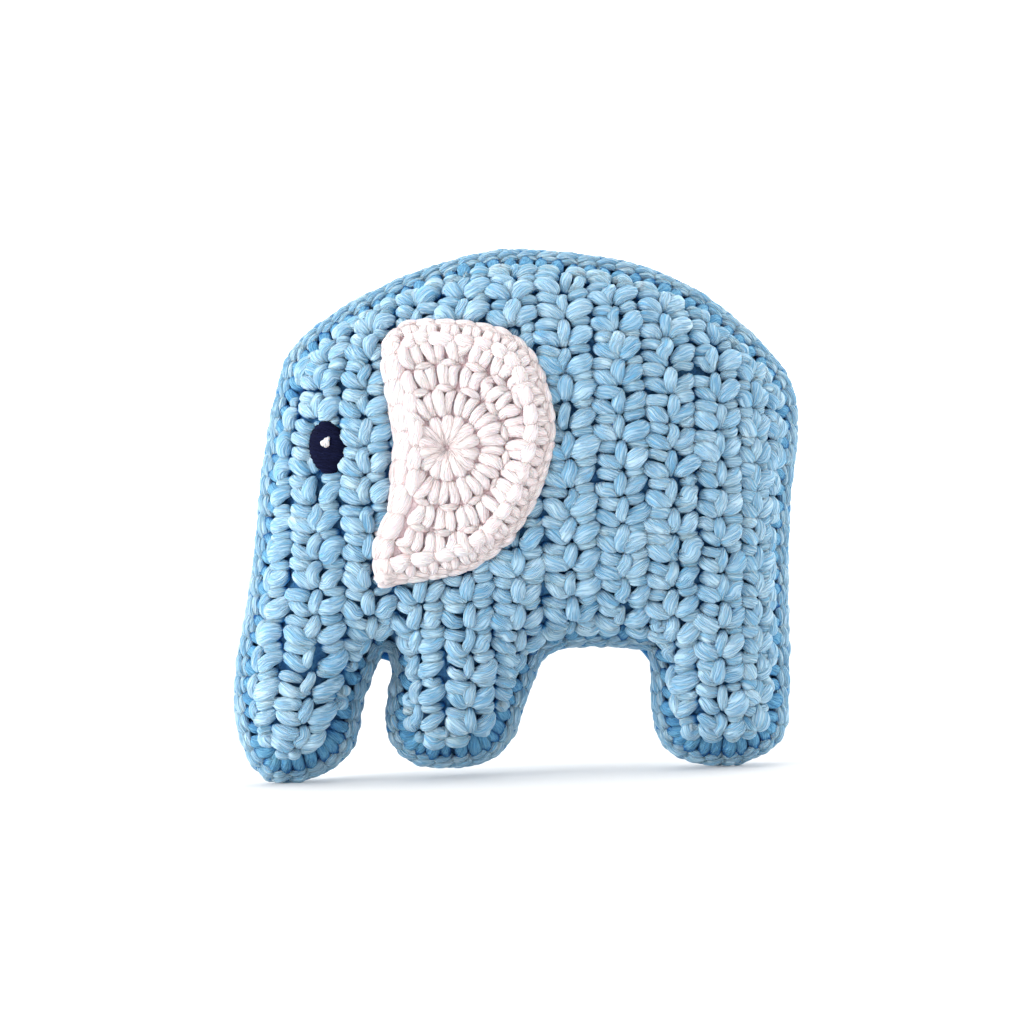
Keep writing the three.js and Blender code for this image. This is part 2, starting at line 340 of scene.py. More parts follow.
@dataclass
class Surface:
    """One side's curved face, as a height over the toy's middle plane.

    Args:
        height: The height field.
        side: LEFT or RIGHT.
    """

    height: Field
    side: int

    def normal(self, x: np.ndarray, z: np.ndarray) -> np.ndarray:
        """Return the outward direction at places of the side view."""
        gx, gz = self.height.slope(x, z)
        return unit(np.stack([-gx, np.full_like(gx, self.side), -gz], axis=-1))

    def place(self, x: np.ndarray, z: np.ndarray, proud: np.ndarray) -> np.ndarray:
        """Return points over the face.

        Args:
            x: Places along the toy.
            z: Heights over the floor.
            proud: How far the points stand out from the face.

        Returns:
            The points, in millimetres.
        """
        on_face = np.stack([x, self.side * self.height.at(x, z), z], axis=-1)
        return on_face + self.normal(x, z) * proud[..., None]


@dataclass
class Stuffing:
    """The fabric pushed out by the filling, a cushion sewn to a flat round.

    Args:
        outline: The toy's outline.
        seam: Width of the flat round that the two fabrics are sewn to.
        reach: How far in from the seam the fabric still rises.
        crown: Height of the fabric in the middle of the toy.
        spacing: Spacing of the simulated fabric's points.
        most: The most that the simulation moves the fabric.
    """

    outline: Outline
    seam: float
    reach: float
    crown: float
    spacing: float = 3.2
    most: float = 0.9

    ROUNDS = 2500
    ROLLED = 1.8
    AT_SEAM = 0.3
    FRAMES = 20
    MASS = 0.05
    STRETCH = 1
    BENDING = 0.1
    PRESSURE = 4

    def rest(self) -> Field:
        """Return the height of an evenly stuffed cushion.

        Returns:
            The height over the middle plane, zero at the seam.
        """
        within = self.outline.distance.with_values(self.outline.distance.values - self.seam)
        inside = within.values > 0
        load = (within.pitch / self.reach) ** 2
        w = np.where(inside, 1.0, 0.0)
        for _ in range(self.ROUNDS):
            wide = np.pad(w, 1)
            around = wide[1:-1, 2:] + wide[1:-1, :-2] + wide[2:, 1:-1] + wide[:-2, 1:-1]
            w = np.where(inside, (around + load) / (4 + load), 0)
        swell = within.with_values(w)
        x, z = within.places()
        ix, iz, _ = self.outline.pulled_in(x, z, self.seam + self.ROLLED)
        share = np.clip(within.values / self.ROLLED, 0, 1)
        swell = within.with_values(np.where(share < 1, swell.at(ix, iz) * share, w))
        return within.with_values(self.crown * np.sqrt(np.clip(swell.values / swell.values.max(), 0, 1)))

    def sheet(self) -> tuple[np.ndarray, np.ndarray]:
        """Lay points evenly inside the seam and join them.

        Returns:
            The points in the side view, the first ones along the seam, and the triangles.
        """
        count = int(self.outline.along[-1] / self.spacing)
        x, z = self.outline.at(np.arange(count) * self.outline.along[-1] / count, np.full(count, self.seam))
        border = np.stack([x, z], axis=1)
        low, high = border.min(axis=0), border.max(axis=0)
        rows = np.arange(low[1], high[1], self.spacing * 0.87)
        inner = []
        for n, height in enumerate(rows):
            across = np.arange(low[0] + (n % 2) * self.spacing / 2, high[0], self.spacing)
            inner.append(np.stack([across, np.full_like(across, height)], axis=1))
        inner = np.vstack(inner)
        deep = self.outline.distance.at(inner[:, 0], inner[:, 1]) > self.seam + 0.55 * self.spacing
        points = np.vstack([border, inner[deep]])
        ring = [(k, (k + 1) % count) for k in range(count)]
        flat, _, faces, *_ = delaunay_2d_cdt([Vector(p) for p in points], ring, [], 1, 1e-5)
        return np.array([list(p) for p in flat]), np.array(faces)

    def settled(self) -> dict[int, Field]:
        """Let the stuffed fabric settle under its pressure.

        Returns:
            The height of each side's fabric.
        """
        rest = self.rest()
        flat, faces = self.sheet()
        depth = self.outline.distance.at(flat[:, 0], flat[:, 1])
        edge = depth < self.seam + self.AT_SEAM
        rise = np.where(edge, 0, rest.at(flat[:, 0], flat[:, 1]))
        twin = np.where(edge, np.arange(len(flat)), len(flat) + np.cumsum(~edge) - 1)
        points = np.concatenate([np.stack([flat[:, 0], -rise, flat[:, 1]], axis=1),
                                 np.stack([flat[:, 0], rise, flat[:, 1]], axis=1)[~edge]])
        mesh = bpy.data.meshes.new("stuffed")
        mesh.from_pydata((points * MM).tolist(), [], faces.tolist() + twin[faces][:, ::-1].tolist())
        cushion = bpy.data.objects.new("stuffed", mesh)
        bpy.context.scene.collection.objects.link(cushion)
        held = cushion.vertex_groups.new(name="seam")
        held.add(np.flatnonzero(edge).tolist(), 1.0, "ADD")
        cloth = cushion.modifiers.new("cloth", "CLOTH")
        cloth.settings.quality = 6
        cloth.settings.mass = self.MASS
        cloth.settings.tension_stiffness = self.STRETCH
        cloth.settings.compression_stiffness = self.STRETCH
        cloth.settings.bending_stiffness = self.BENDING
        cloth.settings.use_pressure = True
        cloth.settings.uniform_pressure_force = self.PRESSURE
        cloth.settings.vertex_group_mass = held.name
        cloth.settings.effector_weights.gravity = 0
        cloth.collision_settings.use_collision = False
        scene = bpy.context.scene
        for number in range(1, self.FRAMES + 1):
            scene.frame_set(number)
        result = cushion.evaluated_get(bpy.context.evaluated_depsgraph_get())
        moved = np.array([v.co for v in result.data.vertices]) / MM
        scene.frame_set(1)
        bpy.data.objects.remove(cushion)
        given = {LEFT: -moved[: len(flat), 1] - rise, RIGHT: moved[twin, 1] - rise}
        return {side: self.added(rest, flat, faces, change) for side, change in given.items()}

    def added(self, rest: Field, flat: np.ndarray, faces: np.ndarray, change: np.ndarray) -> Field:
        """Add the simulated change to the even cushion's height.

        Args:
            rest: The even cushion's height.
            flat: The simulated points in the side view.
            faces: Their triangles.
            change: How far each point rose.

        Returns:
            The settled height.
        """
        change = np.clip(np.nan_to_num(change - np.median(change)), -self.most, self.most)
        relief = [Vector((p[0], c, p[1])) for p, c in zip(flat, change)]
        tree = BVHTree.FromPolygons(relief, faces.tolist())
        x, z = rest.places()
        rise = np.zeros(x.shape)
        for j, i in np.argwhere(self.outline.distance.values > self.seam):
            hit = tree.ray_cast(Vector((x[j, i], -50, z[j, i])), Vector((0, 1, 0)))
            rise[j, i] = hit[0].y if hit[0] else 0
        log.info("fabric settled by %.2f to %.2f mm", rise.min(), rise.max())
        return rest.with_values(np.maximum(rest.values + rest.with_values(rise).blurred(3).values, 0))


# Yarn


@dataclass
class Strands:
    """Lengths of yarn, each a closed tube along a smooth line.

    Args:
        knots: Places on each line in millimetres, shaped (strands, knots, 3).
        outward: The fabric's outward direction at the knots.
        proud: How far the knots stand out of the fabric, read only for the painted shade that darkens their
            low parts.
        width: Width of each strand.
        flat: Each strand's thickness as a share of its width.
        ends: Width at the ends as a share of the full width.
        blunt: How quickly the ends reach the full width, small being quicker.
        rings: Rings of points along a strand.
        sides: Points around each ring.
    """

    knots: np.ndarray
    outward: np.ndarray
    proud: np.ndarray
    width: np.ndarray
    flat: float = 0.8
    ends: float = 0.5
    blunt: float = 0.45
    rings: int = 13
    sides: int = 16

    PLIES = ((4, 2, 0.06), (7, -2, 0.045))
    TWIST = 1.1

    def points(self) -> tuple[np.ndarray, np.ndarray, np.ndarray]:
        """Sweep the tubes.

        Returns:
            The points shaped (strands, rings, sides, 3), how far each stands out of
            the fabric, and the distance of each ring from its strand's start.
        """
        centre = through(self.knots, self.rings)
        lift = through(self.proud[..., None], self.rings)[..., 0]
        ahead = unit(np.gradient(centre, axis=1))
        out = unit(through(self.outward, self.rings))
        across = unit(np.cross(ahead, out))
        out = np.cross(across, ahead)
        t = np.linspace(0, 1, self.rings)
        swell = self.ends + (1 - self.ends) * np.sin(np.pi * t) ** self.blunt
        radius = self.width[:, None] / 2 * swell[None]
        angle = np.arange(self.sides) * 2 * np.pi / self.sides
        phase = np.sin(self.knots[:, 0, :1] * 37 + self.knots[:, 0, 2:] * 53) * 3
        twist = phase[:, None] + self.TWIST * t[None, :, None]
        plies = 1 + sum(deep * np.cos(count * angle + turns * twist) for count, turns, deep in self.PLIES)
        radius = radius[..., None] * plies
        wide = (radius * np.cos(angle))[..., None] * across[:, :, None]
        rise = radius * np.sin(angle) * self.flat
        tube = centre[:, :, None] + wide + rise[..., None] * out[:, :, None]
        steps = np.linalg.norm(np.diff(centre, axis=1), axis=-1)
        gone = np.concatenate([np.zeros((len(centre), 1)), np.cumsum(steps, axis=1)], axis=1)
        return tube, lift[..., None] + rise, gone


@dataclass
class YarnPiece:
    """A mesh of many strands, with maps for its finish and a height that sets its painted shade.

    Args:
        name: The piece's name.
        body: The body that it rides on.
        slot: Its material slot; not used.
        deepest: How far out of the fabric the painted shade is darkest, at the bottom of the crevices.
        highest: How far out the painted shade has faded, at the top of a stitch.
        batches: The piece's strands.
    """

    name: str
    body: str
    slot: Slot
    deepest: float = 0.0
    highest: float = 2.6
    batches: list[Strands] = field(default_factory=list)

    MARGIN = 0.04
    TUBE_WIDE = 0.92
    TUBE_TALL = 0.80
    END_UP = 0.92
    END_ROUND = 0.05
    SKEIN = 90

    def build(self, rng: np.random.Generator) -> bpy.types.Object:
        """Make the piece's mesh.

        Args:
            rng: Source of each strand's small differences.

        Returns:
            The object, riding on its body.
        """
        total = sum(len(b.knots) for b in self.batches)
        across = math.ceil(math.sqrt(total))
        points, faces, corners, depth, tone, bake, yarn = [], [], [], [], [], [], []
        first = done = 0
        for batch in self.batches:
            tube, lift, gone = batch.points()
            strands, rings, sides = tube.shape[:3]
            number = np.arange(strands * rings * sides).reshape(strands, rings, sides) + first
            points.append(tube.reshape(-1, 3))
            # Painted shade: each point's height out of the fabric, 0 in the crevices and 1 on top, darkens
            # its colour low down
            depth.append(((lift - self.deepest) / (self.highest - self.deepest)).reshape(-1))
            tone.append(np.repeat(rng.random(strands), rings * sides))
            cell = np.arange(strands) + done
            corner = np.stack([cell % across, cell // across], axis=1) / across
            wrapped = np.concatenate([number, number[:, :, :1]], axis=2)
            here, onward = wrapped[:, :-1], wrapped[:, 1:]
            quads = np.stack([here[..., :-1], onward[..., :-1], onward[..., 1:], here[..., 1:]], -1)
            i, j = np.meshgrid(np.arange(rings - 1), np.arange(sides), indexing="ij")
            ring = np.stack([i, i + 1, i + 1, i], -1)
            turn = np.stack([j, j, j + 1, j + 1], -1) / sides
            map_u = self.MARGIN + self.TUBE_WIDE * turn[None]
            map_v = self.MARGIN + self.TUBE_TALL * ring[None] / (rings - 1)
            map_u = corner[:, 0, None, None, None] + map_u / across
            map_v = corner[:, 1, None, None, None] + map_v / across
            bake.append(np.stack([map_u, map_v], -1).reshape(-1, 2))
            shift = rng.random(strands)[:, None, None, None]
            along = gone[:, ring] + shift * self.SKEIN
            yarn.append(np.stack([along, np.broadcast_to(turn, along.shape) + shift], -1).reshape(-1, 2))
            faces.append(np.full(quads[..., 0].size, 4))
            corners.append(quads.reshape(-1))
            angle = np.arange(sides) * 2 * np.pi / sides
            disc = np.stack([np.cos(angle), np.sin(angle)], -1) * self.END_ROUND
            for order, place, end in ((slice(None), 0.25, 0), (slice(None, None, -1), 0.75, -1)):
                corners.append(number[:, end, order].reshape(-1))
                faces.append(np.full(strands, sides))
                where = corner[:, None] + (np.array([place, self.END_UP]) + disc[None, order]) / across
                bake.append(where.reshape(-1, 2))
                flat = np.zeros((strands, sides, 2))
                flat[..., 0] = gone[:, end, None]
                yarn.append(flat.reshape(-1, 2))
            first += number.size
            done += strands
        obj = self.object_from(np.vstack(points), np.concatenate(faces), np.concatenate(corners))
        for name, values in (("OFBake", bake), ("Yarn", yarn)):
            layer = obj.data.uv_layers.new(name=name)
            layer.data.foreach_set("uv", np.vstack(values).astype(np.float32).ravel())
        # The depth attribute carries that painted shade height; tone is each strand's random tone
        for name, values in (("depth", depth), ("tone", tone)):
            layer = obj.data.attributes.new(name, "FLOAT", "POINT")
            layer.data.foreach_set("value", np.clip(np.concatenate(values), 0, 1).astype(np.float32))
        return obj

    def object_from(self, points: np.ndarray, faces: np.ndarray, corners: np.ndarray) -> bpy.types.Object:
        """Make an object from its points and faces.

        Args:
            points: The points in millimetres.
            faces: The number of corners of each face.
            corners: The faces' corners, one after another.

        Returns:
            The object.
        """
        mesh = bpy.data.meshes.new(self.name)
        mesh.vertices.add(len(points))
        mesh.vertices.foreach_set("co", (points * MM).astype(np.float32).ravel())
        mesh.loops.add(len(corners))
        mesh.loops.foreach_set("vertex_index", corners.astype(np.int32))
        mesh.polygons.add(len(faces))
        mesh.polygons.foreach_set("loop_start", (np.cumsum(faces) - faces).astype(np.int32))
        mesh.update(calc_edges=True)
        mesh.shade_smooth()
        obj = bpy.data.objects.new(self.name, mesh)
        bpy.context.scene.collection.objects.link(obj)
        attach(obj, self.body)
        return obj


@dataclass(frozen=True)
class StitchStrand:
    """One strand of a stitch, drawn in the stitch's own cell.

    Args:
        kind: The piece that the strand goes to.
        width: The strand's width in millimetres.
        knots: (share across the cell, share up it, millimetres proud) along the strand.
    """

    kind: str
    width: float
    knots: tuple[tuple[float, float, float], ...]


@dataclass
class PanelStitches:
    """Single crochet worked to and fro, in columns that run down the side of the toy.

    Args:
        outline: The toy's outline.
        surface: The fabric's face.
        seam: Width of the round at the edge.
        plump: Widening of all the strands.
        rise: Height of one stitch along the fabric.
        foot: How much further the strands keep from the seam at the feet.
        clear: The least distance of a strand from the seam.
        covers: Distances into the things that press the stitches flat.
    """

    outline: Outline
    surface: Surface
    seam: float
    plump: float = 1.22
    rise: float = 6.3
    foot: float = 2.4
    clear: float = 2.5
    covers: tuple[Field, ...] = ()

    GROOVES = (-61.2, -49.9, -38.4, -27.2, -16.0, -5.0, 6.3, 18.9, 30.1, 41.6, 51.2, 57.2, 61.6)
    LEAN_X = (-61, -50, -38.4, -27.2, -16, 20, 62)
    LEAN_Z = (0, 12, 19, 28, 40, 52, 75, 90, 106, 118)
    LEAN = (
        (-8.5, -8.5, -9.5, -3.0, -1.5, -1.5, -1.0),
        (-6.7, -6.7, -6.7, -2.0, -1.3, -1.3, -1.0),
        (-5.5, -5.5, -4.0, -1.5, -1.2, -1.1, -1.0),
        (-4.2, -4.2, -1.6, -1.0, -1.0, -0.9, -0.8),
        (-2.2, -2.2, -0.6, -0.5, -0.6, -0.7, -0.5),
        (-0.6, -0.6, -0.3, 0.0, -0.3, -0.4, -0.3),
        (0.0, 0.0, 0.0, 0.0, 0.0, 0.0, 0.0),
        (3.0, 3.0, 0.6, 0.3, 0.0, 0.0, 0.0),
        (12.0, 10.0, 4.4, 2.0, 1.0, 0.0, -2.0),
        (18.0, 15.0, 8.0, 4.0, 2.0, 0.0, -5.0),
    )
    STITCH = (
        StitchStrand("leading", 2.5, (
            (0.02, 0.88, -0.4), (0.14, 0.86, 1.3), (0.32, 0.80, 1.7), (0.48, 0.74, 0.5))),
        StitchStrand("leading", 3.1, (
            (0.01, 0.52, -0.4), (0.14, 0.41, 1.3), (0.31, 0.25, 1.6), (0.44, 0.15, 0.1))),
        StitchStrand("upright", 2.5, (
            (0.51, 0.13, 0.0), (0.48, 0.36, 1.9), (0.50, 0.68, 2.1), (0.53, 0.97, 0.4))),
        StitchStrand("trailing", 3.4, (
            (0.60, 0.15, 0.1), (0.71, 0.29, 1.6), (0.85, 0.50, 1.6), (0.99, 0.74, -0.3))),
        StitchStrand("trailing", 2.2, (
            (0.62, -0.12, 0.0), (0.74, -0.08, 1.3), (0.87, -0.02, 1.2), (0.99, 0.05, -0.3))),
    )
    ACROSS = (0.2, 0.5, 0.8)
    STAGGER = 0.5
    HEM = 0.6
    PAST_END = 0.6
    LEAST_RUN = 8
    UNEVEN = 0.028
    UNEVEN_HEIGHT = 0.22
    FOOT_HIGH = 16
    AT_EDGE = 0.6
    FLAT_WITHIN = 2
    RISING_OVER = 5
    PAST_COVER = 0.6
    SQUASHED = 0.2
    SUNK = 0.75
    MOST_MOVED = 2.6
    LEAST_LONG = 1.2

    def groove(self, number: int, z: np.ndarray) -> np.ndarray:
        """Return where a groove between two columns runs, at heights over the floor."""
        x = self.GROOVES[number]
        lean = [np.interp(x, self.LEAN_X, row) for row in self.LEAN]
        return x + np.interp(z, self.LEAN_Z, lean)

    def cells(self, rng: np.random.Generator) -> list[tuple[int, np.ndarray, np.ndarray, float]]:
        """Lay the stitches out column by column.

        Args:
            rng: Source of the stagger between the columns.

        Returns:
            For each stitch its column, the run of distances and heights that it lies on,
            and the distance where it starts.
        """
        found = []
        low, high = self.outline.loop[:, 1].min(), self.outline.loop[:, 1].max()
        z = np.arange(low, high, 0.5)
        for column in range(len(self.GROOVES) - 1):
            x = (self.groove(column, z) + self.groove(column + 1, z)) / 2
            shares = np.array(self.ACROSS)[:, None]
            across = self.groove(column, z) * (1 - shares) + self.groove(column + 1, z) * shares
            deepest = self.outline.distance.at(across, z[None]).max(axis=0)
            turns = np.diff(np.concatenate([[0], (deepest > self.seam + self.HEM).astype(int), [0]]))
            for start, end in zip(np.flatnonzero(turns == 1), np.flatnonzero(turns == -1)):
                if end - start < self.LEAST_RUN:
                    continue
                run_z, run_x = z[start:end], x[start:end]
                height = self.surface.height.at(across[:, start:end], run_z[None]).max(axis=0)
                steps = np.sqrt(np.diff(run_x) ** 2 + np.diff(run_z) ** 2 + np.diff(height) ** 2)
                gone = np.concatenate([[0], np.cumsum(steps)])
                count = max(1, int(round(gone[-1] / self.rise)))
                rise = gone[-1] / count
                shift = (rng.random() - 0.5) * self.STAGGER * rise
                found += [(column, gone, run_z, shift + rise * k) for k in range(-1, count + 1)]
        return found

    def pressed(self, x: np.ndarray, z: np.ndarray, proud: np.ndarray) -> np.ndarray:
        """Flatten the stitches towards the seam, and under what is sewn over them.

        Args:
            x: The knots along the toy.
            z: Their heights over the floor.
            proud: How far they stand out when free.

        Returns:
            How far they stand out.
        """
        deep = self.outline.distance.at(x, z) - self.seam
        full = np.clip((deep - self.FLAT_WITHIN) / self.RISING_OVER, 0, 1)
        proud = proud * (self.AT_EDGE + (1 - self.AT_EDGE) * full)
        for cover in self.covers:
            share = np.clip(cover.at(x, z) + self.PAST_COVER, 0, 1)
            share = np.where(cover.holds(x, z), share, 0)
            proud = proud * (1 - share) + (self.SQUASHED * proud - self.SUNK) * share
        return proud

    def strands(self, rng: np.random.Generator) -> dict[str, Strands]:
        """Draw every stitch's strands on the fabric.

        Args:
            rng: Source of the stitches' small differences.

        Returns:
            The strands of each kind.
        """
        cells = self.cells(rng)
        places: dict[str, list[tuple[np.ndarray, float]]] = {}
        for column, gone, heights, start in cells:
            for strand in self.STITCH:
                knots = np.array(strand.knots)
                knots[:, :2] += rng.normal(0, self.UNEVEN, (len(knots), 2)) + rng.normal(0, self.UNEVEN, 2)
                knots[1:-1, 2] += rng.normal(0, self.UNEVEN_HEIGHT)
                at = start + knots[:, 1] * self.rise
                z = np.interp(at, gone, heights)
                z = z + (np.minimum(at, 0) + np.maximum(at - gone[-1], 0)) * self.PAST_END
                x = self.groove(column, z) * (1 - knots[:, 0]) + self.groove(column + 1, z) * knots[:, 0]
                width = strand.width * self.plump * (1 + rng.normal(0, 0.1))
                places.setdefault(strand.kind, []).append((np.stack([x, z, knots[:, 2]], 1), width))
        drawn = {}
        for kind, found in places.items():
            knots = np.stack([k for k, _ in found])
            width = np.array([w for _, w in found])
            foot = self.foot * np.clip(1 - knots[..., 1] / self.FOOT_HIGH, 0, 1) ** 0.5
            x, z, moved = self.outline.pulled_in(knots[..., 0], knots[..., 1], self.seam + self.clear + foot)
            long = np.hypot(x[:, -1] - x[:, 0], z[:, -1] - z[:, 0])
            kept = (moved.mean(axis=1) < self.MOST_MOVED) & (long > self.LEAST_LONG)
            x, z = x[kept], z[kept]
            free = knots[kept][..., 2]
            points = self.surface.place(x, z, self.pressed(x, z, free))
            drawn[kind] = Strands(points, self.surface.normal(x, z), free, width[kept])
        return drawn


@dataclass
class EdgeRound:
    """The round that joins the two sides: a chain around the rim, and its posts behind.

    Args:
        outline: The toy's outline.
        surfaces: Each side's fabric.
        seam: Width of the round.
        stitch: Length of one chain stitch.
        post: Distance between the posts.
    """

    outline: Outline
    surfaces: dict[int, Surface]
    seam: float
    stitch: float = 4.6
    post: float = 3.7

    # Distance along the rim, distance in from it and distance from the middle plane
    CHAIN = ((-0.5, 1.2, 0.2), (1.3, 0.85, 0.9), (3.5, 1.2, 1.7), (5.5, 2.2, 1.9))
    UNDER = ((0.0, 2.3, 1.8), (1.7, 2.1, 2.5), (3.5, 2.6, 2.7), (5.2, 3.4, 2.0))
    CHAIN_WIDTH = 2.3
    UNDER_WIDTH = 2.0
    CHAIN_LEAN = 1.2

    # At each of a post's four knots: along the rim, in from the seam, further in at the feet,
    # out of the fabric, and how much deeper than that its painted shade makes it look
    POST_ALONG = (0.0, 0.1, 0.4, 0.8)
    POST_DEPTH = (-0.9, 0.35, 1.5, 3.4)
    POST_DEPTH_AT_FOOT = (0, 0.4, 1.4, 2.6)
    POST_PROUD = (0.2, 0.3, 0.4, -0.4)
    POST_PAINTED_SHADE = (1.3, 0.7, 0.0, 0.3)
    POST_WIDTH = 3.0
    POST_ROOT = 1.7
    FOOT_HIGH = 14

    CORE_ALONG = (-0.8, 3.4, 7.6, 11.8)
    CORE_STEP = 11
    CORE_DEPTH = 1.35
    CORE_WIDTH = 2.6

    BAND_IN = 0.9
    BAND_THIN = 0.9
    BAND_THICK = 1.7

    def chain(self, side: int, knots: tuple, width: float, rng: np.random.Generator) -> Strands:
        """Draw one strand of every chain stitch.

        Args:
            side: The side that it shows on.
            knots: (distance along the rim, distance in from it, distance from the middle plane).
            width: The strand's width.
            rng: Source of small differences.

        Returns:
            The strands.
        """
        count = int(round(self.outline.along[-1] / self.stitch))
        pitch = self.outline.along[-1] / count
        knots = np.array(knots)[None] + rng.normal(0, 0.1, (count, len(knots), 3))
        start = (np.arange(count) + (0.5 if side > 0 else 0)) * pitch
        x, z = self.outline.at(start[:, None] + knots[..., 0], knots[..., 1])
        ix, iz = self.outline.at(start[:, None] + knots[..., 0], knots[..., 1] + 1)
        points = np.stack([x, side * knots[..., 2], z], -1)
        outward = unit(np.stack([x - ix, np.full_like(x, side * self.CHAIN_LEAN), z - iz], -1))
        # Painted shade only: the chain is coloured as if it rose 1.5 to 2.1 mm out of the fabric
        proud = 1.5 + 0.6 * np.sin(np.linspace(0, np.pi, knots.shape[1]))[None] + 0 * x
        return Strands(points, outward, proud, width * (1 + rng.normal(0, 0.07, count)), ends=0.35)

    def posts(self, side: int, rng: np.random.Generator) -> Strands:
        """Draw the posts that rise from the rim to the fabric.

        Args:
            side: The side that they show on.
            rng: Source of small differences.

        Returns:
            The strands.
        """
        surface = self.surfaces[side]
        count = int(round(self.outline.along[-1] / self.post))
        start = np.arange(count) * self.outline.along[-1] / count
        gone = start[:, None] + np.array(self.POST_ALONG) + rng.normal(0, 0.2, (count, 4))
        depth = self.seam + np.array(self.POST_DEPTH)
        x, z = self.outline.at(gone, np.broadcast_to(depth, gone.shape))
        foot = np.clip(1 - z[:, :1] / self.FOOT_HIGH, 0, 1) * np.array(self.POST_DEPTH_AT_FOOT)
        x, z = self.outline.at(gone, depth + foot)
        proud = np.array(self.POST_PROUD) + rng.normal(0, 0.15, (count, 1))
        points = surface.place(x, z, proud)
        points[:, 0, 1] = side * self.POST_ROOT
        inside = self.outline.distance.at(x[:, -1], z[:, -1]) > self.seam + 1.0
        width = self.POST_WIDTH * (1 + rng.normal(0, 0.08, count))
        # Painted shade: the posts are coloured as if they sat deeper in the groove than they do
        sunk = proud * 0.8 - np.array(self.POST_PAINTED_SHADE)
        return Strands(points[inside], surface.normal(x, z)[inside], sunk[inside], width[inside], ends=0.5)

    def band(self) -> bpy.types.Object:
        """Make the closed band of fabric under the rim's strands.

        Returns:
            The band, riding on the body.
        """
        deep = self.seam + self.BAND_IN
        section = (
            (self.BAND_IN, -self.BAND_THIN), (deep, -self.BAND_THICK), (deep, self.BAND_THICK),
            (self.BAND_IN, self.BAND_THIN),
        )
        gone = self.outline.along[:-1]
        count = len(gone)
        rows = []
        for depth, away in section:
            x, z = self.outline.at(gone, np.full(count, depth))
            rows.append(np.stack([x, np.full(count, away), z], 1))
        here = np.arange(count)
        onward = np.roll(here, -1)
        faces = []
        for k in range(4):
            a, b = k * count, (k + 1) % 4 * count
            faces += np.stack([here + a, onward + a, onward + b, here + b], 1).tolist()
        mesh = bpy.data.meshes.new("edge_band")
        mesh.from_pydata((np.vstack(rows) * MM).tolist(), [], faces)
        obj = bpy.data.objects.new("edge_band", mesh)
        bpy.context.scene.collection.objects.link(obj)
        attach(obj, "body")
        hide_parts("edging_round")
        return obj

    def core(self) -> Strands:
        """Return the hidden strands that the chain is worked over."""
        count = int(round(self.outline.along[-1] / self.CORE_STEP))
        start = np.arange(count) * self.outline.along[-1] / count
        gone = start[:, None] + np.array(self.CORE_ALONG)
        depth = np.full(gone.shape, self.CORE_DEPTH)
        x, z = self.outline.at(gone, depth)
        ix, iz = self.outline.at(gone, depth + 1)
        outward = unit(np.stack([x - ix, 0 * x, z - iz], -1))
        width = np.full(count, self.CORE_WIDTH)
        return Strands(np.stack([x, 0 * x, z], -1), outward, 0.3 + 0 * x, width, flat=0.95, ends=0.85)


